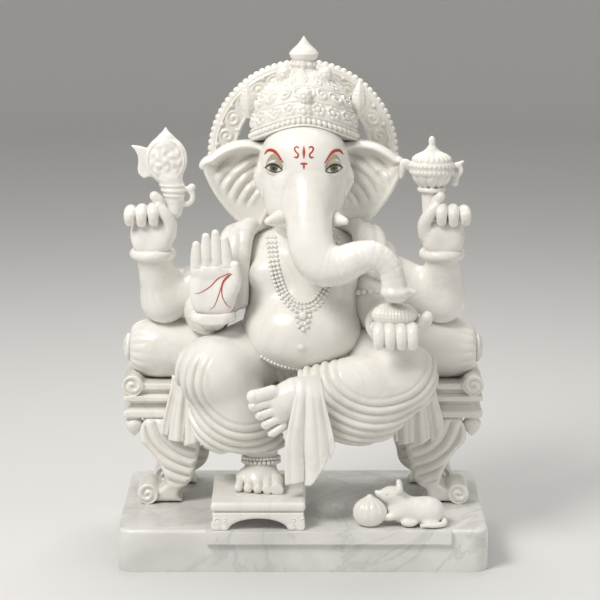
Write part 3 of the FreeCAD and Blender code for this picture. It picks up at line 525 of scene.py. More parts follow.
def tusk_shape(side, f, place):
    inner, outer = (1, 0) if side == RIGHT else (0, 1)
    root, tip = place.at(inner, 0.9, 0.62), place.at(outer * 0.8 + 0.1, 0.12, 0.35)
    return tube(f, [root, (root + tip) / 2 + (0, -1, -2), tip], (10.5, 8.5, 4.2), 8)


# Body
UPPER_ARM, ELBOW, WRIST, OFFERING_WRIST = 27, 26, 20, 19  # radii


def torso_shape(f, place):
    """A broad chest, a round belly with its navel, and hips wrapped in slanting folds."""
    belly, chest = place.at(0.49, 0.41, 0.37), place.at(0.5, 0.55, 0.65)
    d = melt(ellipsoid(f, chest, (70, 46, 60)), ellipsoid(f, place.at(0.5, 0.68, 0.82), (93, 42, 33)), 18)
    for side in SIDES.values():
        d = add_lumps(f, d, chest, ((side * 36, -26, 14), (29, 18, 22), 9))
    d = add_lumps(f, d, belly, ((0, 0, 0), (71, 62, 51), 22), ((0, -60, -9), (4, 4, 4), 2.5))
    hips = ellipsoid(f, place.at(0.5, 0.65, 0.19), (92, 52, 39))
    folds = ridges(f.x / 11 + f.z / 34) * 2.4 * fade(-f.z, -250, -225)
    return melt(d, hips - folds, 5)


def arm_shape(shoulder, elbow, wrist, wrist_radius, f, place):
    """An arm from three joints at shares of its box."""
    points = [place.at(*joint) for joint in (shoulder, elbow, wrist)]
    upper = bone(f, points[0], points[1], UPPER_ARM, ELBOW)
    return melt(upper, bone(f, points[1], points[2], ELBOW, wrist_radius), 12)


def fingers_field(f, chains, soft):
    """Several fingers, each a chain of points and their radii."""
    return melted((tube(f, points, radii, 10) for points, radii in chains), soft)


def blessing_shape(f, place):
    """The raised open palm: mounds round its hollow, and four fingers with joint creases."""
    palm = place.at(0.46, 0.55, 0.36)
    d = add_lumps(
        f, ellipsoid(f, palm + (1, 0, 2), (29, 10, 30)), palm,
        ((2, 0, -20), (22, 13, 20), 10), ((15, -6, -8), (12, 8, 21), 6),
        ((-16, -5, -8), (9, 7, 20), 6), ((0, -5, 19), (24, 6, 8), 5),
    )
    chains = []
    for index, share in enumerate((0.76, 0.95, 1.05, 0.93)):
        across = index - 1.5
        root = palm + (across * 12.0, -2, 23 - abs(across) * 2.0)
        tip = root + (-across * 0.8 - 1.5, -3, place.size[2] * 0.37 * share)
        chains.append(([root, root + (tip - root) * 0.55 + (0, 0.5, 0), tip], (7.1, 6.9, 4.4)))
    thumb = tube(f, [palm + (17, -5, -10), palm + (26, -7, 5), palm + (27, -8, 27)], (10, 8.5, 5), 10)
    d = melt(melt(d, fingers_field(f, chains, 0.5), 3), thumb, 2.5)
    for (root, _, tip), _ in chains:
        for share in (0.10, 0.42, 0.70):
            crease = root + (tip - root) * share + (0, -7.2, 0)
            d = carve(d, bone(f, crease - (5.5, 0, 0), crease + (5.5, 0, 0), 0.6, 0.6), 1.4)
    return d


def raised_fist(side, f, place):
    """A fist at ear height: three fingers curled onto the palm, forefinger and thumb pinching a stem."""
    inwards = -side
    palm = place.at(0.5 + side * 0.04, 0.55, 0.34)

    def from_palm(*offsets):
        """Points whose offsets from the palm count towards the head in x."""
        return [palm + (inwards * x, y, z) for x, y, z in offsets]

    d = add_lumps(
        f, ellipsoid(f, palm, (26, 15, 25)), palm, ((0, 3, -16), (20, 16, 14), 8),
        ((inwards * 12, -7, -4), (11, 9, 17), 6), ((-inwards * 14, -6, -6), (9, 8, 15), 6),
    )
    chains = []
    for index, length in enumerate((0.62, 0.95, 1.0)):
        root_x, root_z, back = (index - 1.75) * 12.0, 20 + index * 1.5, 1.5 - index
        bend_x, bend_z = root_x - (3 - index), root_z + 9
        curled = from_palm(
            (root_x, -2, root_z), (bend_x, -11, bend_z), (bend_x - back, -21, bend_z - 4),
            (bend_x - back, -17, bend_z - 6 - 9 * length),
        )
        chains.append((curled, (7.2, 7.2, 6.8, 6.0)))
    chains.append((from_palm((13, -1, 22), (11, -10, 34), (8, -14, 42), (4, -16, 47)), (7.2, 7, 6.6, 5.8)))
    thumb = from_palm((19, -4, 0), (22, -11, 14), (15, -17, 28), (9, -18, 36))
    return melt(melt(d, fingers_field(f, chains, 0.6), 2.5), tube(f, thumb, (10, 8, 6.8, 5), 10), 2)


def offering_shape(f, place):
    """The lowered palm with its fingers hanging over the front."""
    palm = place.at(0.42, 0.62, 0.50)
    d = add_lumps(f, ellipsoid(f, palm, (30, 20, 12)), palm, ((0, 14, 2), (22, 16, 13), 8))
    chains = []
    for index in range(4):
        root = palm + ((index - 1.5) * 13, -12, 2)
        hanging = [root, root + (0, -13, -1), root + (0, -17, -10), root + (0, -15, -18)]
        chains.append((hanging, (7.4, 7.2, 6.6, 5.6)))
    thumb = [palm + (24, 6, 2), palm + (34, -2, 8), palm + (37, -8, 14)]
    return melt(melt(d, fingers_field(f, chains, 0.7), 3), tube(f, thumb, (9, 8, 7), 8), 3)


# Legs and feet
THIGH, KNEE, HEM = 43, 40, 27  # radii


def folded_cloth(f, hip, knee, hem, bag, swing):
    """A trouser leg of thin cloth: taut over the knee, with folds below that swing like hung chains."""
    d = melt(bone(f, hip, knee, THIGH, KNEE), bone(f, knee, hem, KNEE, HEM), 10)
    d = melt(d, ellipsoid(f, *bag), 14)
    middle, taut, top = swing
    x, z = f.x - middle[0], f.z - middle[2]
    far = np.hypot(x, z) + 0.10 * (f.y - middle[1])
    wave = far / 10.5 + 0.10 * np.sin(np.arctan2(z, x) * 3.0)
    fold = ridges(wave) + 0.3 * ridges(wave * 0.5 + 0.2)
    shown = fade(far, taut, taut + 16) * fade(top - z, 0, 30)
    return d - 3.6 * (fold - 0.7) * shown


def right_leg_shape(f, place):
    """The raised leg; its hem is cut off in small waves above the anklet."""
    knee, hem = place.at(0.34, 0.255, 0.685), place.at(0.84, 0.44, 0.08)
    bag = (place.at(0.51, 0.34, 0.36), (48, 38, 52))
    swing = (place.at(0.73, 0.20, 0.65), 44, 42)
    d = folded_cloth(f, place.at(0.82, 0.74, 0.74), knee, hem, bag, swing)
    return np.maximum(d, place.low[2] + 15 + 2 * np.sin(f.x / 5) - f.z)


def left_leg_shape(f, place):
    """The leg laid across the lap."""
    knee, hem = place.at(0.745, 0.36, 0.54), place.at(0.06, 0.16, 0.48)
    bag = (place.at(0.40, 0.30, 0.29), (62, 35, 45))
    swing = (place.at(0.59, 0.24, 0.82), 46, 8)
    return folded_cloth(f, place.at(0.32, 0.74, 0.68), knee, hem, bag, swing)


def toes_field(f, roots, reaches, radii, nail_side):
    """Five toes with rounded tips, each with a nail set into its upper side."""
    nail_side = np.array(nail_side) / np.linalg.norm(nail_side)
    toes = []
    for root, reach, radius in zip(roots, reaches, radii):
        middle, tip = root + reach * 0.55 + nail_side * radius * 0.15, root + reach
        toe = tube(f, [root, middle, tip], (radius, radius * 0.92, radius), 8)
        nail = tip + nail_side * radius * 0.55 - reach / np.linalg.norm(reach) * radius * 0.1
        toes.append(melt(toe, ellipsoid(f, nail, (radius * 0.62,) * 3), 0.4))
    return melted(toes, 0.7)


def standing_heel(place):
    """The middle of the heel of the foot that stands on the stool."""
    return np.array((place.at(0.56, 0, 0)[0], place.at(0, 0.64, 0)[1], place.low[2] + 19))


def standing_foot_shape(f, place):
    heel = standing_heel(place)
    d = tube(f, [heel + (0, 2, 40), heel + (0, 1, 14), heel + (0, 0, -1)], (21, 19.5, 18), 7)
    d = melt(d, tube(f, [heel + (0, -6, -3), heel + (-3, -17, -6), heel + (-4, -27, -9)], (15, 13, 9), 7), 5)
    d = add_lumps(f, d, heel, ((-3, -13, -7), (27, 20, 14), 6))
    roots = [heel + (-23.5 + index * 10.6, -22 - index, -7.5) for index in range(5)]
    reaches = [np.array((-2.5 + 0.8 * index, -16.0 - 1.8 * index, -6.0)) for index in range(5)]
    toes = toes_field(f, roots, reaches, (5.2, 5.6, 5.8, 6.0, 7.4), (0, -0.7, 1))
    return np.maximum(melt(d, toes, 4), place.low[2] - f.z)


def crossed_foot_shape(f, place):
    ankle, ball = place.at(0.94, 0.60, 0.64), place.at(0.46, 0.45, 0.54)
    d = tube(f, [ankle, (ankle + ball) / 2 + (0, -3, 4), ball + (4, 0, 0)], (21, 20, 17), 7)
    d = add_lumps(f, d, ball, ((5, -2, -6), (17, 15, 22), 8))
    roots = [ball + (-7 + index * 3.4, -9 + index * 0.8, 12 - index * 10.2) for index in range(5)]
    lengths = (22, 25, 21, 18, 14)
    reaches = [np.array((-length, -3.0, -5.0 - index)) for index, length in enumerate(lengths)]
    return melt(d, toes_field(f, roots, reaches, (8.2, 6.6, 6.2, 5.9, 5.5), (-0.2, -1, 0.35)), 3)


# Cloth falls
def cloth_fall(f, place, top_share, spread, lean, pleats, hem_rise, phase, tuck=0.0, depth=3.6):
    """A fall of pleated cloth that widens downwards to a hem of small steps, one step to each pleat."""
    x, _, _ = f.seen_from(place.mid)
    width, _, height = place.size
    down = (place.high[2] - f.z) / height
    half = width / 2 * (top_share + (1 - top_share) * fade(down, 0.0, spread))
    u = (x - lean * width * (1 - down)) / half
    folded = 0.8 * ridges(u * pleats / 2 + phase) + 0.35 * ridges(u * pleats * 0.9 + 0.4)
    tread = np.mod(u * pleats / 2 + phase, 1)
    rising_side = np.maximum(u * np.sign(hem_rise), 0)
    hem = place.low[2] + abs(hem_rise) * rising_side**1.3 * height + 6.0 * tread
    outline = np.maximum(np.maximum((np.abs(u) - 1) * half, hem - f.z), f.z - place.high[2])
    fold = depth * folded * fade(down, 0.0, 0.35)
    step = 2.2 * tread * fade(down, 0.55, 0.9)
    front = place.low[1] + 5.0 - fold - step + 2.5 * u * u + tuck * (1 - fade(down, 0, 0.2))
    back = place.high[1] - fold * 0.5
    return slab(outline, np.maximum(front - f.y, f.y - back), 2.0) * 0.85


def shawl_shape(f, place):
    """Three soft folds that come round the neck, over each shoulder and down in front."""
    folds = []
    for side, low in ((RIGHT, 0.10), (LEFT, 0.50)):
        x = 0.5 + side * 0.38
        shares = ((-0.10, 0.88, 0.90), (0, 0.46, 0.90), (0.03, 0.22, 0.62), (0.04, 0.18, low))
        stations = [place.at(x + side * across, back, up) for across, back, up in shares]
        for fold in (-1, 0, 1):
            shift = (side * fold * 10.0, abs(fold) * 2.0, -fold * 4.0)
            folds.append(tube(f, [station + shift for station in stations], (9, 11, 9.5, 9), 14))
    return melted(folds, 2.0)


# Crown, halo and emblems
def crown_shape(f, place):
    """A dome carved in rows of beads, flowers and curls above a brim that arches up over the brow."""
    x, y, _ = f.seen_from(place.mid)
    half_x, half_y, neck = place.size[0] / 2 - 2.0, place.size[1] / 2 - 2.0, 14.0
    fall = 1 - np.clip((f.z - place.low[2]) / (place.size[2] - 2), 0, 1) ** 3.2
    wide, deep = neck + (half_x - neck) * fall, neck + (half_y - neck) * fall
    dome = (np.hypot(x / wide, y / deep) - 1) * np.minimum(wide, deep) * 0.8
    turn = np.arctan2(x, -y)
    around, whole = turn * half_x, FULL_TURN * half_x
    rise = f.z - place.low[2] + 5 - 29 * swell(turn, 0, 1.15)
    v = rise + 42 * np.clip(1 - np.hypot(x / half_x, y / half_y), 0, 1)
    across = centred(around, whole / 54) / (whole / 54) * 2
    relief = 2.8 * np.sqrt(np.clip(1 - across**2 - ((v - 6.6) / 3.6) ** 2, 0, 1)) + 1.6 * swell(v, 1.4, 1.6)
    relief = relief + 1.6 * swell(v, 12.2, 1.2) + 1.3 * swell(v, 36.5, 1.2) + 1.3 * swell(v, 62.0, 1.2)
    for row in (
        2.2 * rosettes(around, v, whole / 18, 24.5, 10.5),
        2.4 * scrolls(around + whole / 36, v, whole / 18, 49.0, 11.0),
        2.2 * rosettes(around, v, whole / 12, 75.0, 11.0, 6),
        2.2 * scrolls(around, v, whole / 9, 93.0, 9.0),
    ):
        relief = np.maximum(relief, row)
    d = dome - relief
    for side in SIDES.values():
        lobe = place.at(0.5 + side * 0.19, 0.40, 0.90)
        flower = 1.2 * rosettes(f.x - lobe[0], f.z, ALONE, lobe[2], 8.0, 5)
        d = melt(d, ellipsoid(f, lobe, (9, 10, 10)) - flower, 2)
    for up, size in ((0.46, 10.0), (0.66, 8.0)):
        boss = place.at(0.5, 0.06, up)
        flower = 1.8 * rosettes(f.x - boss[0], f.z, ALONE, boss[2], size, 8)
        d = melt(d, ellipsoid(f, boss + (0, 3, 0), (size, 8, size * 1.2)) - flower, 3)
    return np.maximum(d, -rise)


def bud_shape(f, place):
    """A ribbed leaf bud against each side of the crown."""
    buds = []
    for side in SIDES.values():
        x = place.mid[0] + side * (place.size[0] / 2 - 10)
        foot, rise = np.array((x, place.mid[1], place.low[2])), np.array((side * 3, 0, place.size[2]))
        bud = tube(f, [foot + rise * share for share in (0, 0.35, 0.7, 1)], (5, 9, 6.5, 1.6), 10)
        buds.append(bud - 0.9 * (ridges(about_axis(f, foot, rise) * 6 / FULL_TURN) - 0.5))
    return union(buds)


def turned(f, place, far, top, shares):
    """A turned form's distance, from its profile's (height share, radius share) pairs."""
    heights, radii = zip(*shares)
    return far - np.interp((f.z - place.low[2]) / place.size[2], heights, np.array(radii) * top)


def finial_shape(f, place):
    """A beaded collar below a bulb that draws in to a point."""
    shares = (
        (0, 0.84), (0.1, 0.86), (0.2, 0.72), (0.32, 0.95), (0.44, 1.0), (0.55, 0.86), (0.72, 0.46),
        (0.9, 0.16), (1, 0.05),
    )
    x, y, _ = f.seen_from(place.mid)
    beads_row = 1.3 * domes(np.arctan2(y, x) * 15, f.z - place.low[2], 7.85, 4.5, 3.2)
    ring = 0.7 * swell(f.z, place.at(0, 0, 0.44)[2], 1.6)
    d = (turned(f, place, np.hypot(x, y), place.size[0] / 2, shares) - beads_row * 0.5 - ring) * 0.75
    return np.maximum(d, np.abs(f.z - place.mid[2]) - place.size[2] / 2)


def halo_shape(f, place):
    """A ring with a beaded rim, curling leaves over its band and a plain border along its opening."""
    x, y, z = f.seen_from(place.mid)
    far, turn = np.hypot(x, z), np.arctan2(z, x)
    outer = place.size[0] / 2
    inner, edge = outer - 35.0, outer - 4.0
    d = slab(np.abs(far - (inner + edge) / 2) - (edge - inner) / 2, np.abs(y) - 5.0, 2)
    rim = np.sqrt(centred(turn * edge, FULL_TURN * edge / 90) ** 2 + (far - edge) ** 2 + y**2) - 4.1
    d = melt(d, rim, 1.2)
    band = (inner + edge) / 2 - 1.5
    u, pitch = turn * band, FULL_TURN * band / 26
    relief = 1.5 * scrolls(u, far, pitch, band, 10.0)
    for row, radius in ((band + 9.0, 2.6), (band - 9.0, 2.2)):
        relief = np.maximum(relief, domes(u + pitch / 2, far, pitch, row, radius))
    relief = relief + 2.0 * swell(far, inner + 2.0, 1.6) + 1.8 * swell(far, edge - 6.0, 1.2)
    return d - relief * (np.abs(y) < 12)


def axe_shape(f, place):
    """A carved boss with rings of petals, a fan blade, a tapered stem and a loop."""
    boss = place.at(0.56, 0.5, 0.65)
    x, y, z = f.seen_from(boss)
    far, turn = np.hypot(x, z * 0.88), np.arctan2(z, x)
    petals = 2.0 * swell(far, 9.5, 3.4) * (0.5 + 0.5 * np.cos(turn * 6 + far * 0.25))
    petals = petals + 1.6 * swell(far, 16.5, 2.4) * (0.5 + 0.5 * np.cos(turn * 9 - far * 0.3))
    rim = 1.8 * swell(far, 21.5, 1.2) + 2.2 * swell(far, 0, 3.6)
    d = ellipsoid(f, boss, (25, 12, 28)) - (petals + rim)
    d = melt(d, tube(f, [boss + (0, 0, 21), boss + (0, 0, 30), boss + (0, 0, 37)], (11, 5, 1.2), 6), 6)
    stem = tube(f, [boss + (5, 0, -22), boss + (9, 0, -40), boss + (9, 0, -60)], (14, 12.5, 10), 8)
    band = swell(z, -30, 1.5) + 1.3 * swell(z, -36, 2.2) + swell(z, -42, 1.5)
    d = melt(d, stem - 1.3 * band, 4)
    reach, tall, drop = boss[0] - place.low[0] - 1, 17.0, 22.0
    corners = [
        (-reach * 0.3, -drop * 0.8, 0), (-reach * 0.62, -drop, 3), (-reach * 0.80, -drop * 0.35, -4),
        (-reach, tall, 2), (-reach * 0.3, tall * 0.5, 0),
    ]
    blade = outline_distance(f, arc_outline(corners), boss[0], boss[2])
    d = melt(d, slab(blade, np.abs(y) - 4.5, 2), 2.5)
    loop = torus(f, boss + (22, 0, -44), 9, 3.2, axis=1)
    return melt(d, add_lumps(f, loop, boss, ((30, 0, -33), (4.5, 4.5, 4.5), 3)), 2)


def lotus_shape(f, place):
    """A lidded bowl: a stem, a collar, a cup of petals, a beaded band and a ribbed lid with a knob."""
    x, y, _ = f.seen_from(place.mid)
    far, turn = np.hypot(x, y), np.arctan2(y, x)
    height, wide = place.size[2], place.size[0] / 2 - 8

    def level(share):
        return np.array((place.mid[0], place.mid[1], place.low[2] + height * share))

    d = bone(f, level(-0.12), level(0.30), wide * 0.34, wide * 0.42)
    d = melt(d, torus(f, level(0.33), wide * 0.50, 2.8), 2)
    petals = 2.0 * ridges(turn * 10 / FULL_TURN) - 1
    d = melt(d, ellipsoid(f, level(0.54), (wide * 0.82, wide * 0.82, height * 0.20)) - petals, 2)
    _, _, z = f.seen_from(level(0.60))
    band, around = wide * 0.9, turn * wide * 0.9
    rows = [domes(around, z, FULL_TURN * band / 30, row, 2.2) for row in (-3.6, 3.6)]
    d = melt(d, slab(far - band, np.abs(z) - height * 0.08, 2) - 0.7 * sum(rows), 1.5)
    ribs = 1.4 * ridges(turn * 22 / FULL_TURN) * fade(z, 8, 12) - 0.7
    lid = ellipsoid(f, level(0.67), (wide * 0.86, wide * 0.86, height * 0.14))
    d = melt(d, melt(lid, bone(f, level(0.68), level(0.90), wide * 0.50, 3), 6) - ribs, 1)
    d = add_lumps(f, d, level(0.94), ((0, 0, 0), (4.0, 4.0, 6.0), 1.5))
    leaf = [place.at(across, 0.5, up) for across, up in ((0.14, 0.62), (0.06, 0.65), (0.01, 0.48))]
    loop = torus(f, place.at(0.89, 0.5, 0.57), 6.0, 2.8, axis=1)
    curl = bone(f, place.at(0.90, 0.5, 0.48), place.at(0.87, 0.5, 0.41), 3.4, 4.6)
    tip = bone(f, place.at(0.93, 0.5, 0.64), place.at(1.0, 0.5, 0.68), 3.4, 1.6)
    return melt(melt(melt(d, tube(f, leaf, (5, 5.5, 2), 8), 2), loop, 1.5), np.minimum(curl, tip), 2)


# Bench, stool and mouse
def seat_shape(f, place):
    """Two thin projecting mouldings between deep coves, and a rolled scroll along each end of the top."""
    x, y, _ = f.seen_from(place.mid)
    height = place.size[2] - 11
    profile = (
        (0, 0.2), (0.05, 0), (0.20, 0), (0.27, 0.7), (0.38, 1), (0.46, 0.6), (0.50, 0), (0.64, 0),
        (0.69, 0.75), (0.78, 0.75), (0.84, 0.25), (1, 0.25),
    )
    heights, insets = zip(*profile)
    inset = 11.0 * np.interp((f.z - place.low[2]) / height, heights, insets)
    past = [np.maximum(np.abs(axis) - half + 4 + inset, 0) for axis, half in zip((x, y), place.size / 2)]
    outline = np.hypot(*past) - 3
    d = slab(outline, np.abs(f.z - place.low[2] - height / 2) - height / 2, 1.5) * 0.8
    ends = np.abs(y) - place.size[1] / 2
    for side in SIDES.values():
        roll = place.mid + (side * (place.size[0] / 2 - 12.5), 0, place.size[2] / 2 - 13)
        d = melt(d, scroll_roll((f.x - roll[0]) * side, f.z - roll[2], 12.5, ends, 2.6), 4)
    return d


def drops_shape(f, place):
    """Four turned drops, pointed below, under the bench's corners."""
    x, y, _ = f.seen_from(place.mid)
    radius = 11.0
    far = np.hypot(np.abs(x) - place.size[0] / 2 + radius, np.abs(y) - place.size[1] / 2 + radius)
    shares = (
        (0, 0.05), (0.08, 0.28), (0.3, 0.68), (0.55, 0.96), (0.7, 1), (0.84, 0.86), (0.9, 0.66), (1.2, 0.7)
    )
    d = turned(f, place, far, radius, shares) * 0.75
    return np.maximum(d, np.abs(f.z - place.mid[2]) - place.size[2] / 2)


def bench_leg_shape(side, f, place):
    """A cabriole leg wrapped in carved folds that swing from its outer edge down to its ankle and scroll."""
    width, depth, height = place.size
    x = (f.x - place.low[0]) if side == RIGHT else (place.high[0] - f.x)
    z = f.z - place.low[2]
    corners = (
        (0.16, 1.0, 0), (0.93, 1.0, 5), (0.90, 0.42, 5), (0.68, 0.17, -4), (0.70, 0.02, 0), (0.10, 0.02, 0),
        (0.46, 0.22, -5), (0.08, 0.70, 5),
    )
    outline = arc_outline([(across * width, up * height, bulge) for across, up, bulge in corners])
    outline = outline_distance(Flat(x, z), outline)
    swing = np.hypot(x - width * 1.05, z - height * 1.12)
    shown = fade(-outline, 0.5, 7) * fade(z, 14, 30)
    folds = 4.6 * (ridges(swing / 12.5 + 0.12 * np.sin(z / 14)) - 0.5) * shown
    ends = np.abs(f.y - place.mid[1]) - depth / 2
    d = slab(outline, ends + 5 - folds, 5) * 0.85
    return np.maximum(melt(d, scroll_roll(x - 13.0, z - 12.5, 12.5, ends, 2.4), 4), -z)


def bolster_shape(side, f, place):
    """A stuffed roll whose cloth gathers in pleats at its outer end."""
    x, y, z = f.seen_from(place.mid)
    out = x * side / (place.size[0] / 2)
    radius = 36.5 - 13 * np.clip((out - 0.35) / 0.65, 0, 1) ** 2.4 - 3 * np.clip(-out, 0, 1) ** 3
    pleats = 1.6 * ridges(np.arctan2(z, y) * 18 / FULL_TURN) * fade(out, 0.5, 0.9)
    return slab((np.hypot(y, z) - radius - pleats) * 0.9, np.abs(x) - place.size[0] / 2, 5)


def button_shape(f, place):
    """A domed flower that gathers the bolster's end."""
    _, y, z = f.seen_from(place.mid)
    return ellipsoid(f, place.mid, (5.5, 17.5, 17.5)) - 1.4 * rosettes(y, z, ALONE, 0, 15, 8)


def stool_top_shape(f, place):
    """A thick board with a soft edge and a small step round its underside."""
    top = brick(f, place.low + (0, 0, 3), place.high, 4.5)
    return np.minimum(top, brick(f, place.low + (4, 4, 0), place.high - (4, 4, 4), 2))


def stool_frame_shape(f, place):
    """Two arched boards on feet that turn out in scrolls and are carved with leaves."""
    x, _, _ = f.seen_from(place.mid)
    up = f.z - place.low[2]
    width, depth, height = place.size
    boards = []
    for end in (-1, 1):
        middle = place.mid[1] + end * (depth / 2 - 7)
        low, high = place.low + (2, 0, 0), place.high + (-2, 0, 2)
        low[1], high[1] = middle - 7, middle + 7
        arch = np.hypot(x / (width * 0.31), up / (height * 0.72)) - 1
        board = carve(brick(f, low, high, 1.5), arch * 10, 2.5)
        board = board - 1.4 * scrolls(f.x, up, width / 11, height * 0.55, 5.0) * (np.abs(x) > width * 0.33)
        for side in SIDES.values():
            curl = np.hypot(x - side * (width / 2 - 6), up - 5.5) - 5.5
            toe = np.hypot(x - side * (width / 2 - 16), up - 3.5) - 3.5
            board = melt(board, slab(np.minimum(curl, toe), np.abs(f.y - middle) - 8, 1.5), 2)
        boards.append(board)
    return np.maximum(union(boards), -up)


def mouse_shape(f, place):
    """A crouching mouse with its head raised over its sweet, one paw on it, its tail round its flank."""
    body = place.at(0.60, 0.5, 0.33)
    head = body + (-28, -2, 20)
    rump, chest = ((16, 0, -1), (17, 17, 16), 8), ((-19, 0, 5), (14, 13, 18), 8)
    d = add_lumps(f, ellipsoid(f, body, (29, 16, 16)), body, rump, chest)
    d = add_lumps(f, d, head, ((0, 0, 0), (13, 11, 10), 6))
    d = melt(d, bone(f, head + (-4, 0, -1), head + (-15, -1, 1), 8, 4.2), 4)
    d = add_lumps(f, d, head, ((-18, -1, 3), (2.6, 2.6, 2.4), 1))
    for side in SIDES.values():
        ear = head + (8, side * 8, 9)
        cup = ellipsoid(f, ear + (-4, 0, 0), (3.5, 4, 5))
        d = melt(d, carve(ellipsoid(f, ear, (4.5, 6, 7)), cup, 1), 1.5)
        d = add_lumps(f, d, head, ((-6, side * 8.6, 3.5), (2.6, 2.4, 2.4), 0.8))
        leg = [body + (-20, side * 9, 0), body + (-28, side * 9, -5), body + (-37, side * 8, -6)]
        d = melt(d, tube(f, leg, (6, 4.6, 4), 6), 3)
    for x in (-8, 17):
        d = add_lumps(f, d, body, ((x, -13, -11), (10, 6, 5), 3))
    tail = [body + (30, 0, -8), body + (33, -12, -12), body + (22, -19, -13), body + (6, -19, -13)]
    return np.maximum(melt(d, tube(f, tail, (4, 3.4, 2.8, 2), 10), 1.5), place.low[2] - f.z)


def sweet_shape(f, place):
    """A pinched dumpling: pleats gather to a point on top."""
    middle = place.at(0.5, 0.5, 0.42)
    x, y, z = f.seen_from(middle)
    d = ellipsoid(f, middle, place.size * (0.49, 0.49, 0.46))
    d = melt(d, bone(f, place.at(0.5, 0.5, 0.6), place.at(0.5, 0.5, 0.95), 7, 1.5), 8)
    pleats = 1.1 * ridges(np.arctan2(y, x) * 12 / FULL_TURN) * fade(z, -12, 8)
    return np.maximum(d - pleats, place.low[2] - f.z)


def heap_shape(f, place):
    """A large dumpling, ribbed like a shell in rows of small pleats."""
    x, y, z = f.seen_from(place.at(0.5, 0.5, 0.30))
    turn, tilt = np.arctan2(x, -y), z / place.size[2]
    rows = ridges(turn * 15 / np.pi) * (0.5 + 0.5 * ridges(tilt * 6.5))
    d = ellipsoid(f, place.at(0.5, 0.5, 0.38), place.size * (0.50, 0.50, 0.54))
    return d - 1.5 * rows * fade(tilt, -0.2, 0.1)


def bangles_shape(f, place):
    """Plain round bangles: one at each raised wrist, one below the blessing hand, one behind the other."""
    edges = ((RIGHT, place.low[0]), (LEFT, place.high[0]))
    raised = [torus(f, (edge - side * 26.5, -10, place.high[2] - 6.5), 21.5, 6.2) for side, edge in edges]
    blessing = torus(f, Place("right_front_hand").at(0.46, 0.6, 0.03), 21.5, 6.5)
    offering = torus(f, Place("left_front_hand").at(0.30, 0.98, 0.55), 20, 5.5, axis=1)
    return union((*raised, blessing, offering))


# Strings of beads
def ball_mesh():
    """Corners and faces of a unit bead: a cube's grid of squares blown up to a ball."""
    side = BEAD_SQUARES + 1
    steps = np.linspace(-1, 1, side)
    corners, faces = [], []
    for axis in range(3):
        for sign in (-1, 1):
            start = len(corners)
            for u in steps:
                for v in steps:
                    point = np.zeros(3)
                    point[axis], point[(axis + 1) % 3], point[(axis + 2) % 3] = sign, u, v
                    corners.append(point / np.linalg.norm(point))
            for i in range(BEAD_SQUARES):
                for j in range(BEAD_SQUARES):
                    a = start + i * side + j
                    quad = [a, a + side, a + side + 1, a + 1]
                    faces.append(quad if sign > 0 else quad[::-1])
    corners = np.array(corners)
    _, first, to = np.unique(np.round(corners, 6), axis=0, return_index=True, return_inverse=True)
    return corners[first], to.ravel()[np.array(faces)]


def beads(node, spots):
    """One piece of many beads; spots are (centre, radii) in millimetres."""
    corners, faces = ball_mesh()
    points = [(np.asarray(middle) + corners * radii) * MM for middle, radii in spots]
    quads = [faces + index * len(corners) for index in range(len(spots))]
    return piece_from(f"{node}_beads", np.vstack(points), np.vstack(quads), MARBLE, (node,))


class Surface:
    """Ray casts from the front onto finished pieces."""

    def __init__(self, *objects):
        self.trees = [BVHTree.FromObject(o, bpy.context.evaluated_depsgraph_get()) for o in objects]

    def front(self, x, z, fallback):
        """How far forward the pieces come at a place, or the fallback beside them."""
        hits = [tree.ray_cast(Vector((x, IN_FRONT, z)) * MM, Vector((0, 1, 0)))[0] for tree in self.trees]
        return min((hit.y / MM for hit in hits if hit is not None), default=fallback)


def evenly(path, pitch):
    """Points at an even spacing along a polyline."""
    path = np.asarray(path, float)
    steps = np.linalg.norm(np.diff(path, axis=0), axis=1)
    run = np.concatenate([[0], np.cumsum(steps)])
    marks = np.linspace(0, run[-1], max(int(run[-1] / pitch), 1) + 1)
    return np.stack([np.interp(marks, run, path[:, i]) for i in range(3)], axis=1)


def belt(surface):
    """Beads on a line that sags across the foot of the belly."""
    place, bead = Place("belt"), 2.1
    path = []
    for s in np.linspace(-1, 1, 90):
        x = place.mid[0] + s * (place.size[0] / 2 - 3)
        z = place.low[2] + bead + (place.size[2] - 3 * bead) * s * s
        path.append((x, surface.front(x, z, place.high[1]) - bead * 0.6, z))
    beads("belt", [(p, (bead,) * 3) for p in evenly(path, bead * 2.1)])


def necklace(surface):
    """A broad garland of two strings with links between them, and a flower drop in the middle."""
    place = Place("necklace")
    low, rise = place.low[2] + 10, place.size[2] - 12
    middle_line = []
    for a in np.linspace(-math.pi / 2, math.pi / 2, 120):
        h = 1 - abs(math.cos(a)) ** 0.75
        across = (place.size[0] / 2 - 9) * abs(math.sin(a)) ** 0.85 + 4 * h * h
        middle_line.append((place.mid[0] + np.sign(a) * across, 0, low + rise * h))
    centre = evenly(middle_line, 4.6)
    spots = []

    def lay(x, z, radii, sink, beside):
        spots.append(((x, surface.front(x, z, beside) - sink, z), radii))

    for index in range(1, len(centre) - 1):
        along = centre[index + 1] - centre[index - 1]
        across = np.array((-along[2], 0, along[0])) / np.linalg.norm(along)
        for offset, radius in ((-4.4, 2.4), (0, 2.2), (4.4, 2.4)):
            x, _, z = centre[index] + across * offset
            lay(x, z, (radius,) * 3, radius * 0.5, place.high[1])
    x, z = place.mid[0], low - 9
    for index in range(10):
        angle = index * FULL_TURN / 10
        lay(x + 7.5 * math.cos(angle), z + 8.5 * math.sin(angle), (2.8, 2.2, 2.8), 0.8, place.low[1])
    lay(x, z, (5.5, 4.0, 5.5), 1, place.low[1])
    for dx, dz, radius in ((-5, -11, 2.2), (0, -14, 2.8), (5, -11, 2.2)):
        lay(x + dx, z + dz, (radius,) * 3, 0.8, place.low[1])
    beads("necklace", spots)


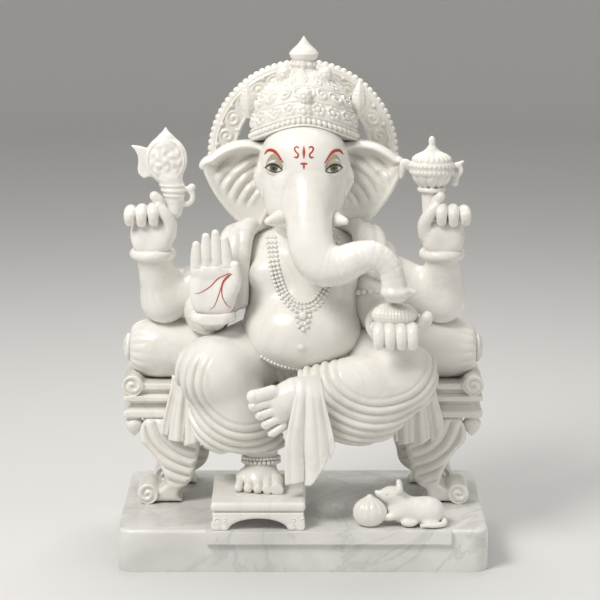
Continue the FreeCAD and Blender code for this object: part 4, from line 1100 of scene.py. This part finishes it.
def ring_of_beads(middle, radius, normal, bead):
    """A closed ring of touching beads about a leaning axis."""
    normal = np.asarray(normal, float) / np.linalg.norm(normal)
    side = np.cross(normal, (0, 1, 0.01))
    side /= np.linalg.norm(side)
    other = np.cross(normal, side)
    count = int(FULL_TURN * radius / (bead * 2.05))
    angles = [FULL_TURN * index / count for index in range(count)]
    return [(middle + radius * (math.cos(a) * side + math.sin(a) * other), (bead,) * 3) for a in angles]


# Paint
def decal(name, rows, surface, material=RED, lift=0.25):
    """A closed film of paint laid on a surface; rows are equal lists of (x, z) points."""
    depth = 1.2
    m, n = len(rows), len(rows[0])
    front = np.array([[(x, surface.front(x, z, HEAD.low[1]), z) for x, z in row] for row in rows])
    points = np.vstack([(front - (0, lift, 0)).reshape(-1, 3), (front + (0, depth, 0)).reshape(-1, 3)]) * MM
    faces, below = [], m * n
    for i in range(m - 1):
        for j in range(n - 1):
            a = i * n + j
            quad = (a, a + 1, a + n + 1, a + n)
            faces += [quad, [corner + below for corner in quad[::-1]]]
    rim = list(range(n)) + [i * n + n - 1 for i in range(1, m)]
    rim += [(m - 1) * n + j for j in range(n - 2, -1, -1)] + [i * n for i in range(m - 2, 0, -1)]
    faces += [(b, a, a + below, b + below) for a, b in zip(rim, rim[1:] + rim[:1])]
    return piece_from(name, points, outward(points, np.array(faces)), material)


def stroke(points, widths, count=24):
    """Rows of a brush stroke along a smooth line, as wide as it is pressed."""
    path = smooth_path([[*p, w] for p, w in zip(points, widths)], count)
    rows = []
    for index, (x, z, w) in enumerate(path):
        ahead, behind = path[min(index + 1, count - 1)], path[max(index - 1, 0)]
        along = ahead[:2] - behind[:2]
        side = np.array((-along[1], along[0])) / max(np.linalg.norm(along), 1e-6)
        rows.append([(x + side[0] * w * s, z + side[1] * w * s) for s in np.linspace(-0.5, 0.5, 4)])
    return rows


def disc(x, z, rx, rz):
    """Rows of a round patch: a square grid pressed into an ellipse."""
    shares = np.linspace(-1, 1, 9)

    def pressed(u, v):
        return x + rx * u * math.sqrt(1 - v * v / 2), z + rz * v * math.sqrt(1 - u * u / 2)

    return [[pressed(u, v) for v in shares] for u in shares]


def eye_paint(surface, name, side, middle, level):
    """Painted shade on the lid, a dark eye with its two lid lines, and the brow."""
    x = middle + side * EYE_OUT

    def lid_line(lift):
        shares = (1, 0.5, 0, -0.5, -1)
        return [(x + side * s * 10, level + lift * (1 - s * s) - 1.0 + 1.2 * s) for s in shares]

    # painted shade on the lid, from just above the eye up towards the brow
    shade = []
    for share in np.linspace(0, 1, 8):
        lift, tilt = 4.0 + 11.0 * share, 1.2 - 2.6 * share
        across = np.linspace(1, -1, 17)
        row = [(x + side * s * 10.5, level + lift * (1 - s * s) + tilt * s + 1.5 * share) for s in across]
        shade.append(row)
    decal(f"{name}_lid_shade_paint", shade, surface, LID_PAINTED_SHADE, 0.3)
    decal(f"{name}_iris_paint", disc(x, level - 0.2, 4.7, 4.3), surface, IRIS, 0.3)
    decal(f"{name}_pupil_paint", disc(x, level - 0.2, 2.1, 2.1), surface, BLACK, 0.5)
    decal(f"{name}_upper_lid_paint", stroke(lid_line(5.6), (0.8, 2.0, 2.5, 2.0, 1.0)), surface, BLACK, 0.6)
    decal(f"{name}_lower_lid_paint", stroke(lid_line(-3.6), (0.6, 1.0, 1.2, 1.0, 0.7)), surface, BLACK, 0.6)
    brow = [(x + side * out, level + up) for out, up in ((11, 14), (6, 19.5), (-2, 18.5), (-11, 7))]
    decal(f"{name}_brow_paint", stroke(brow, (1.0, 3.0, 3.6, 1.3)), surface)


def face_paint(surface):
    """Both eyes, and a brow mark: a flame between two curls, over a bud and a dot."""
    middle, level = FACE[0], FACE[2] + EYE_UP
    for name, side in SIDES.items():
        eye_paint(surface, name, side, middle, level)
    top = level + 26
    flame = [(middle, top + 1), (middle, top - 6), (middle, top - 13)]
    decal("brow_mark_flame_paint", stroke(flame, (0.5, 3.2, 1.0)), surface)
    turns = ((5.5, -1.5), (8.5, 0), (11, -2.5), (9, -6), (6.5, -8.5), (8, -12), (11.5, -11.5))
    for name, side in SIDES.items():
        curl = [(middle + side * out, top + up) for out, up in turns]
        rows = stroke(curl, (1.2, 1.8, 2.0, 1.8, 1.8, 2.2, 1.0), 40)
        decal(f"brow_mark_{name}_curl_paint", rows, surface)
    decal("brow_mark_bud_paint", disc(middle, top - 19, 4.2, 1.4), surface)
    decal("brow_mark_dot_paint", disc(middle, top - 22.5, 1.2, 2.2), surface)


def palm_paint(surface):
    """Three lines that start together beside the forefinger."""
    palm = Place("right_front_hand").at(0.46, 0, 0.36)
    lines = (
        ((24, 18), (14, 10), (9, -4), (3, -20), (-3, -25)),
        ((23, 17), (13, 6), (12, -8), (18, -20), (23, -23)),
        ((22, 18), (8, 12), (-2, 2), (-14, -5), (-20, -6)),
    )
    for index, offsets in enumerate(lines):
        points = [(palm[0] + x, palm[2] + z) for x, z in offsets]
        decal(f"palm_line_paint_{index + 1}", stroke(points, (0.6, 1.2, 1.1, 0.8, 0.3)), surface)


# Build
def sculpt_all(step, margin=MARGIN, **shapes):
    """Sculpts several nodes at one step."""
    for node, shape in shapes.items():
        sculpt(node, shape, step, margin)


def both(name, shape):
    """A shape of each side, under the name with the side put in."""
    return {name.format(side_name): partial(shape, side) for side_name, side in SIDES.items()}


def build_head():
    skin = []
    for name, step in (("head", FINE), ("trunk", MEDIUM), ("right_ear", MEDIUM), ("left_ear", MEDIUM)):
        skin.append(sculpt(name, partial(skin_shape, name), step, WIDE_MARGIN))
    sculpt_all(FINE, **both("{}_tusk", tusk_shape), crown=crown_shape)
    sculpt_all(FINE, crown_buds=bud_shape, crown_finial=finial_shape)
    sculpt("halo", halo_shape, FINE * 1.15)
    return skin


def build_body():
    joints = {  # shoulder, elbow and wrist at shares of each arm's box, and the wrist's radius
        "right_rear_arm": ((0.85, 0.62, 0.65), (0.216, 0.62, 0.25), (0.135, 0.28, 0.81), WRIST),
        "left_rear_arm": ((0.16, 0.62, 0.65), (0.815, 0.62, 0.25), (0.81, 0.28, 0.81), WRIST),
        "right_front_arm": ((0.70, 0.74, 0.76), (0.35, 0.70, 0.23), (0.43, 0.22, 0.27), WRIST),
        "left_front_arm": ((0.41, 0.79, 0.76), (0.45, 0.67, 0.24), (0.67, 0.18, 0.19), OFFERING_WRIST),
    }
    torso = sculpt("torso", torso_shape, BROAD)
    sculpt_all(BROAD, **{name: partial(arm_shape, *of) for name, of in joints.items()})
    sculpt_all(FINE, WIDE_MARGIN, **both("{}_rear_hand", raised_fist), left_front_hand=offering_shape)
    palm = sculpt("right_front_hand", blessing_shape, FINE, margin=10.0)
    sculpt_all(MEDIUM, right_leg=right_leg_shape, left_leg=left_leg_shape, shawl=shawl_shape)
    sculpt_all(FINE, right_foot=standing_foot_shape, left_foot=crossed_foot_shape)
    return torso, palm


def build_cloth_and_held():
    sash = partial(cloth_fall, top_share=0.50, spread=0.75, pleats=2.0, tuck=7.0, depth=5.0)
    sash = partial(sash, lean=-0.04, hem_rise=0.34, phase=0.25)
    drape = partial(cloth_fall, top_share=0.66, spread=0.9, pleats=3.2)
    right_drape = partial(drape, lean=0.08, hem_rise=-0.14, phase=0.1)
    left_drape = partial(drape, lean=-0.08, hem_rise=0.14, phase=0.4)
    sculpt_all(FINE, front_sash=sash, right_drape=right_drape, left_drape=left_drape)
    sculpt_all(FINE, sweets=heap_shape, axe_emblem=axe_shape, lotus_emblem=lotus_shape)


def build_bench():
    sculpt_all(MEDIUM, bench_seat=seat_shape, **both("{}_bolster", bolster_shape))
    for row in ("front", "rear"):
        sculpt_all(FINE * 1.2, **both(row + "_{}_bench_leg", bench_leg_shape))
    sculpt_all(FINE, right_bolster_button=button_shape, left_bolster_button=button_shape)
    sculpt_all(FINE, bench_drops=drops_shape)
    sculpt_all(FINE, footstool_top=stool_top_shape, footstool_frames=stool_frame_shape)
    sculpt_all(FINE, mouse=mouse_shape, mouse_sweet=sweet_shape)


def build_dress(torso):
    body = Surface(torso)
    necklace(body)
    belt(body)
    ankle = standing_heel(Place("right_foot")) + (0, 1, 0)
    ankle[2] = Place("anklet").mid[2] - 1
    lower = ring_of_beads(ankle, 21.5, (0, 0.1, 1), 2.6)
    beads("anklet", lower + ring_of_beads(ankle + (0, 0, 4.6), 21.5, (0, 0.1, 1), 2.0))
    sculpt_all(MEDIUM, bangles=bangles_shape)
    arms = Place("armbands")
    left = ring_of_beads((arms.high[0] - 33, -12, arms.mid[2]), 29, (0, 0.25, 1), 3.6)
    beads("armbands", left + ring_of_beads((arms.low[0] - 9, -12, arms.mid[2]), 28, (0, 0.2, 1), 3.4))


def keep_cad():
    """The plinth, its front slab and the pins keep their CAD shape and get their real material."""
    for name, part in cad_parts.items():
        if part.hide_render:
            continue
        material = STEEL if name.endswith(("_pins", "_pin")) else VEINED
        part.data.materials.clear()
        part.data.materials.append(material)


# Stage, in metres
AIM = (0, 0, 0.3)
CAMERA_PLACE, CAMERA_TILT, CAMERA_LENS, CAMERA_SHIFT = (0, -2.95, 0.869), 11, 151, -0.005
FLOOR_REACH, FLOOR_CURVE, WALL_TOP, FLOOR_SECTORS = 4.0, 1.2, 4.0, 96


def area(name, place, size, watts):
    """A soft square lamp that points at the idol."""
    light = bpy.data.lights.new(name, "AREA")
    light.color = (1.0, 0.975, 0.94)
    light.size, light.energy = size, watts
    made = bpy.data.objects.new(name, light)
    made.location = place
    made.rotation_euler = (Vector(AIM) - Vector(place)).to_track_quat("-Z", "Y").to_euler()
    bpy.context.scene.collection.objects.link(made)


def round_floor():
    """A round pale floor that curves up into a wall all round."""
    paper = Wiring("stage_paper")
    paper.set(Base_Color=(0.66, 0.66, 0.655, 1), Roughness=0.9)
    profile = [(0.001, 0)]
    for a in np.linspace(0, math.pi / 2, 16):
        profile.append((FLOOR_REACH + math.sin(a) * FLOOR_CURVE, (1 - math.cos(a)) * FLOOR_CURVE))
    profile.append((FLOOR_REACH + FLOOR_CURVE, WALL_TOP))
    turns = np.arange(FLOOR_SECTORS) * FULL_TURN / FLOOR_SECTORS
    points = [(far * math.cos(turn), far * math.sin(turn), z) for far, z in profile for turn in turns]
    faces = []
    for row in range(0, len(points) - FLOOR_SECTORS, FLOOR_SECTORS):
        above = row + FLOOR_SECTORS
        for j in range(FLOOR_SECTORS):
            k = (j + 1) % FLOOR_SECTORS
            faces.append((row + j, row + k, above + k, above + j))
    mesh = bpy.data.meshes.new("stage_floor")
    mesh.from_pydata(points, [], faces)
    mesh.shade_smooth()
    floor = bpy.data.objects.new("stage_floor", mesh)
    floor.data.materials.append(paper.material)
    bpy.context.scene.collection.objects.link(floor)


def stage():
    """The floor, soft lights, and a camera on the idol's middle line."""
    round_floor()
    area("key", (-1.2, -1.3, 2.1), 0.9, 47)
    area("fill", (1.9, -1.1, 0.9), 1.4, 8)
    area("top", (0.1, 0.7, 1.9), 1.0, 15)
    world = bpy.data.worlds.new("stage_light")
    world.use_nodes = True
    sky = world.node_tree.nodes["Background"].inputs
    sky["Color"].default_value, sky["Strength"].default_value = (1.0, 0.98, 0.95, 1), 0.46
    scene = bpy.context.scene
    scene.world = world
    scene.view_settings.view_transform = "Standard"
    camera = bpy.data.objects.new("camera", bpy.data.cameras.new("camera"))
    camera.location = CAMERA_PLACE
    camera.rotation_euler = (math.radians(90 - CAMERA_TILT), 0, 0)
    camera.data.lens, camera.data.shift_x = CAMERA_LENS, CAMERA_SHIFT
    scene.collection.objects.link(camera)
    scene.camera = camera


head_pieces = build_head()
torso_piece, palm_piece = build_body()
build_cloth_and_held()
build_bench()
build_dress(torso_piece)
face_paint(Surface(*head_pieces))
palm_paint(Surface(palm_piece))
keep_cad()
stage()

bpy.context.view_layer.update()
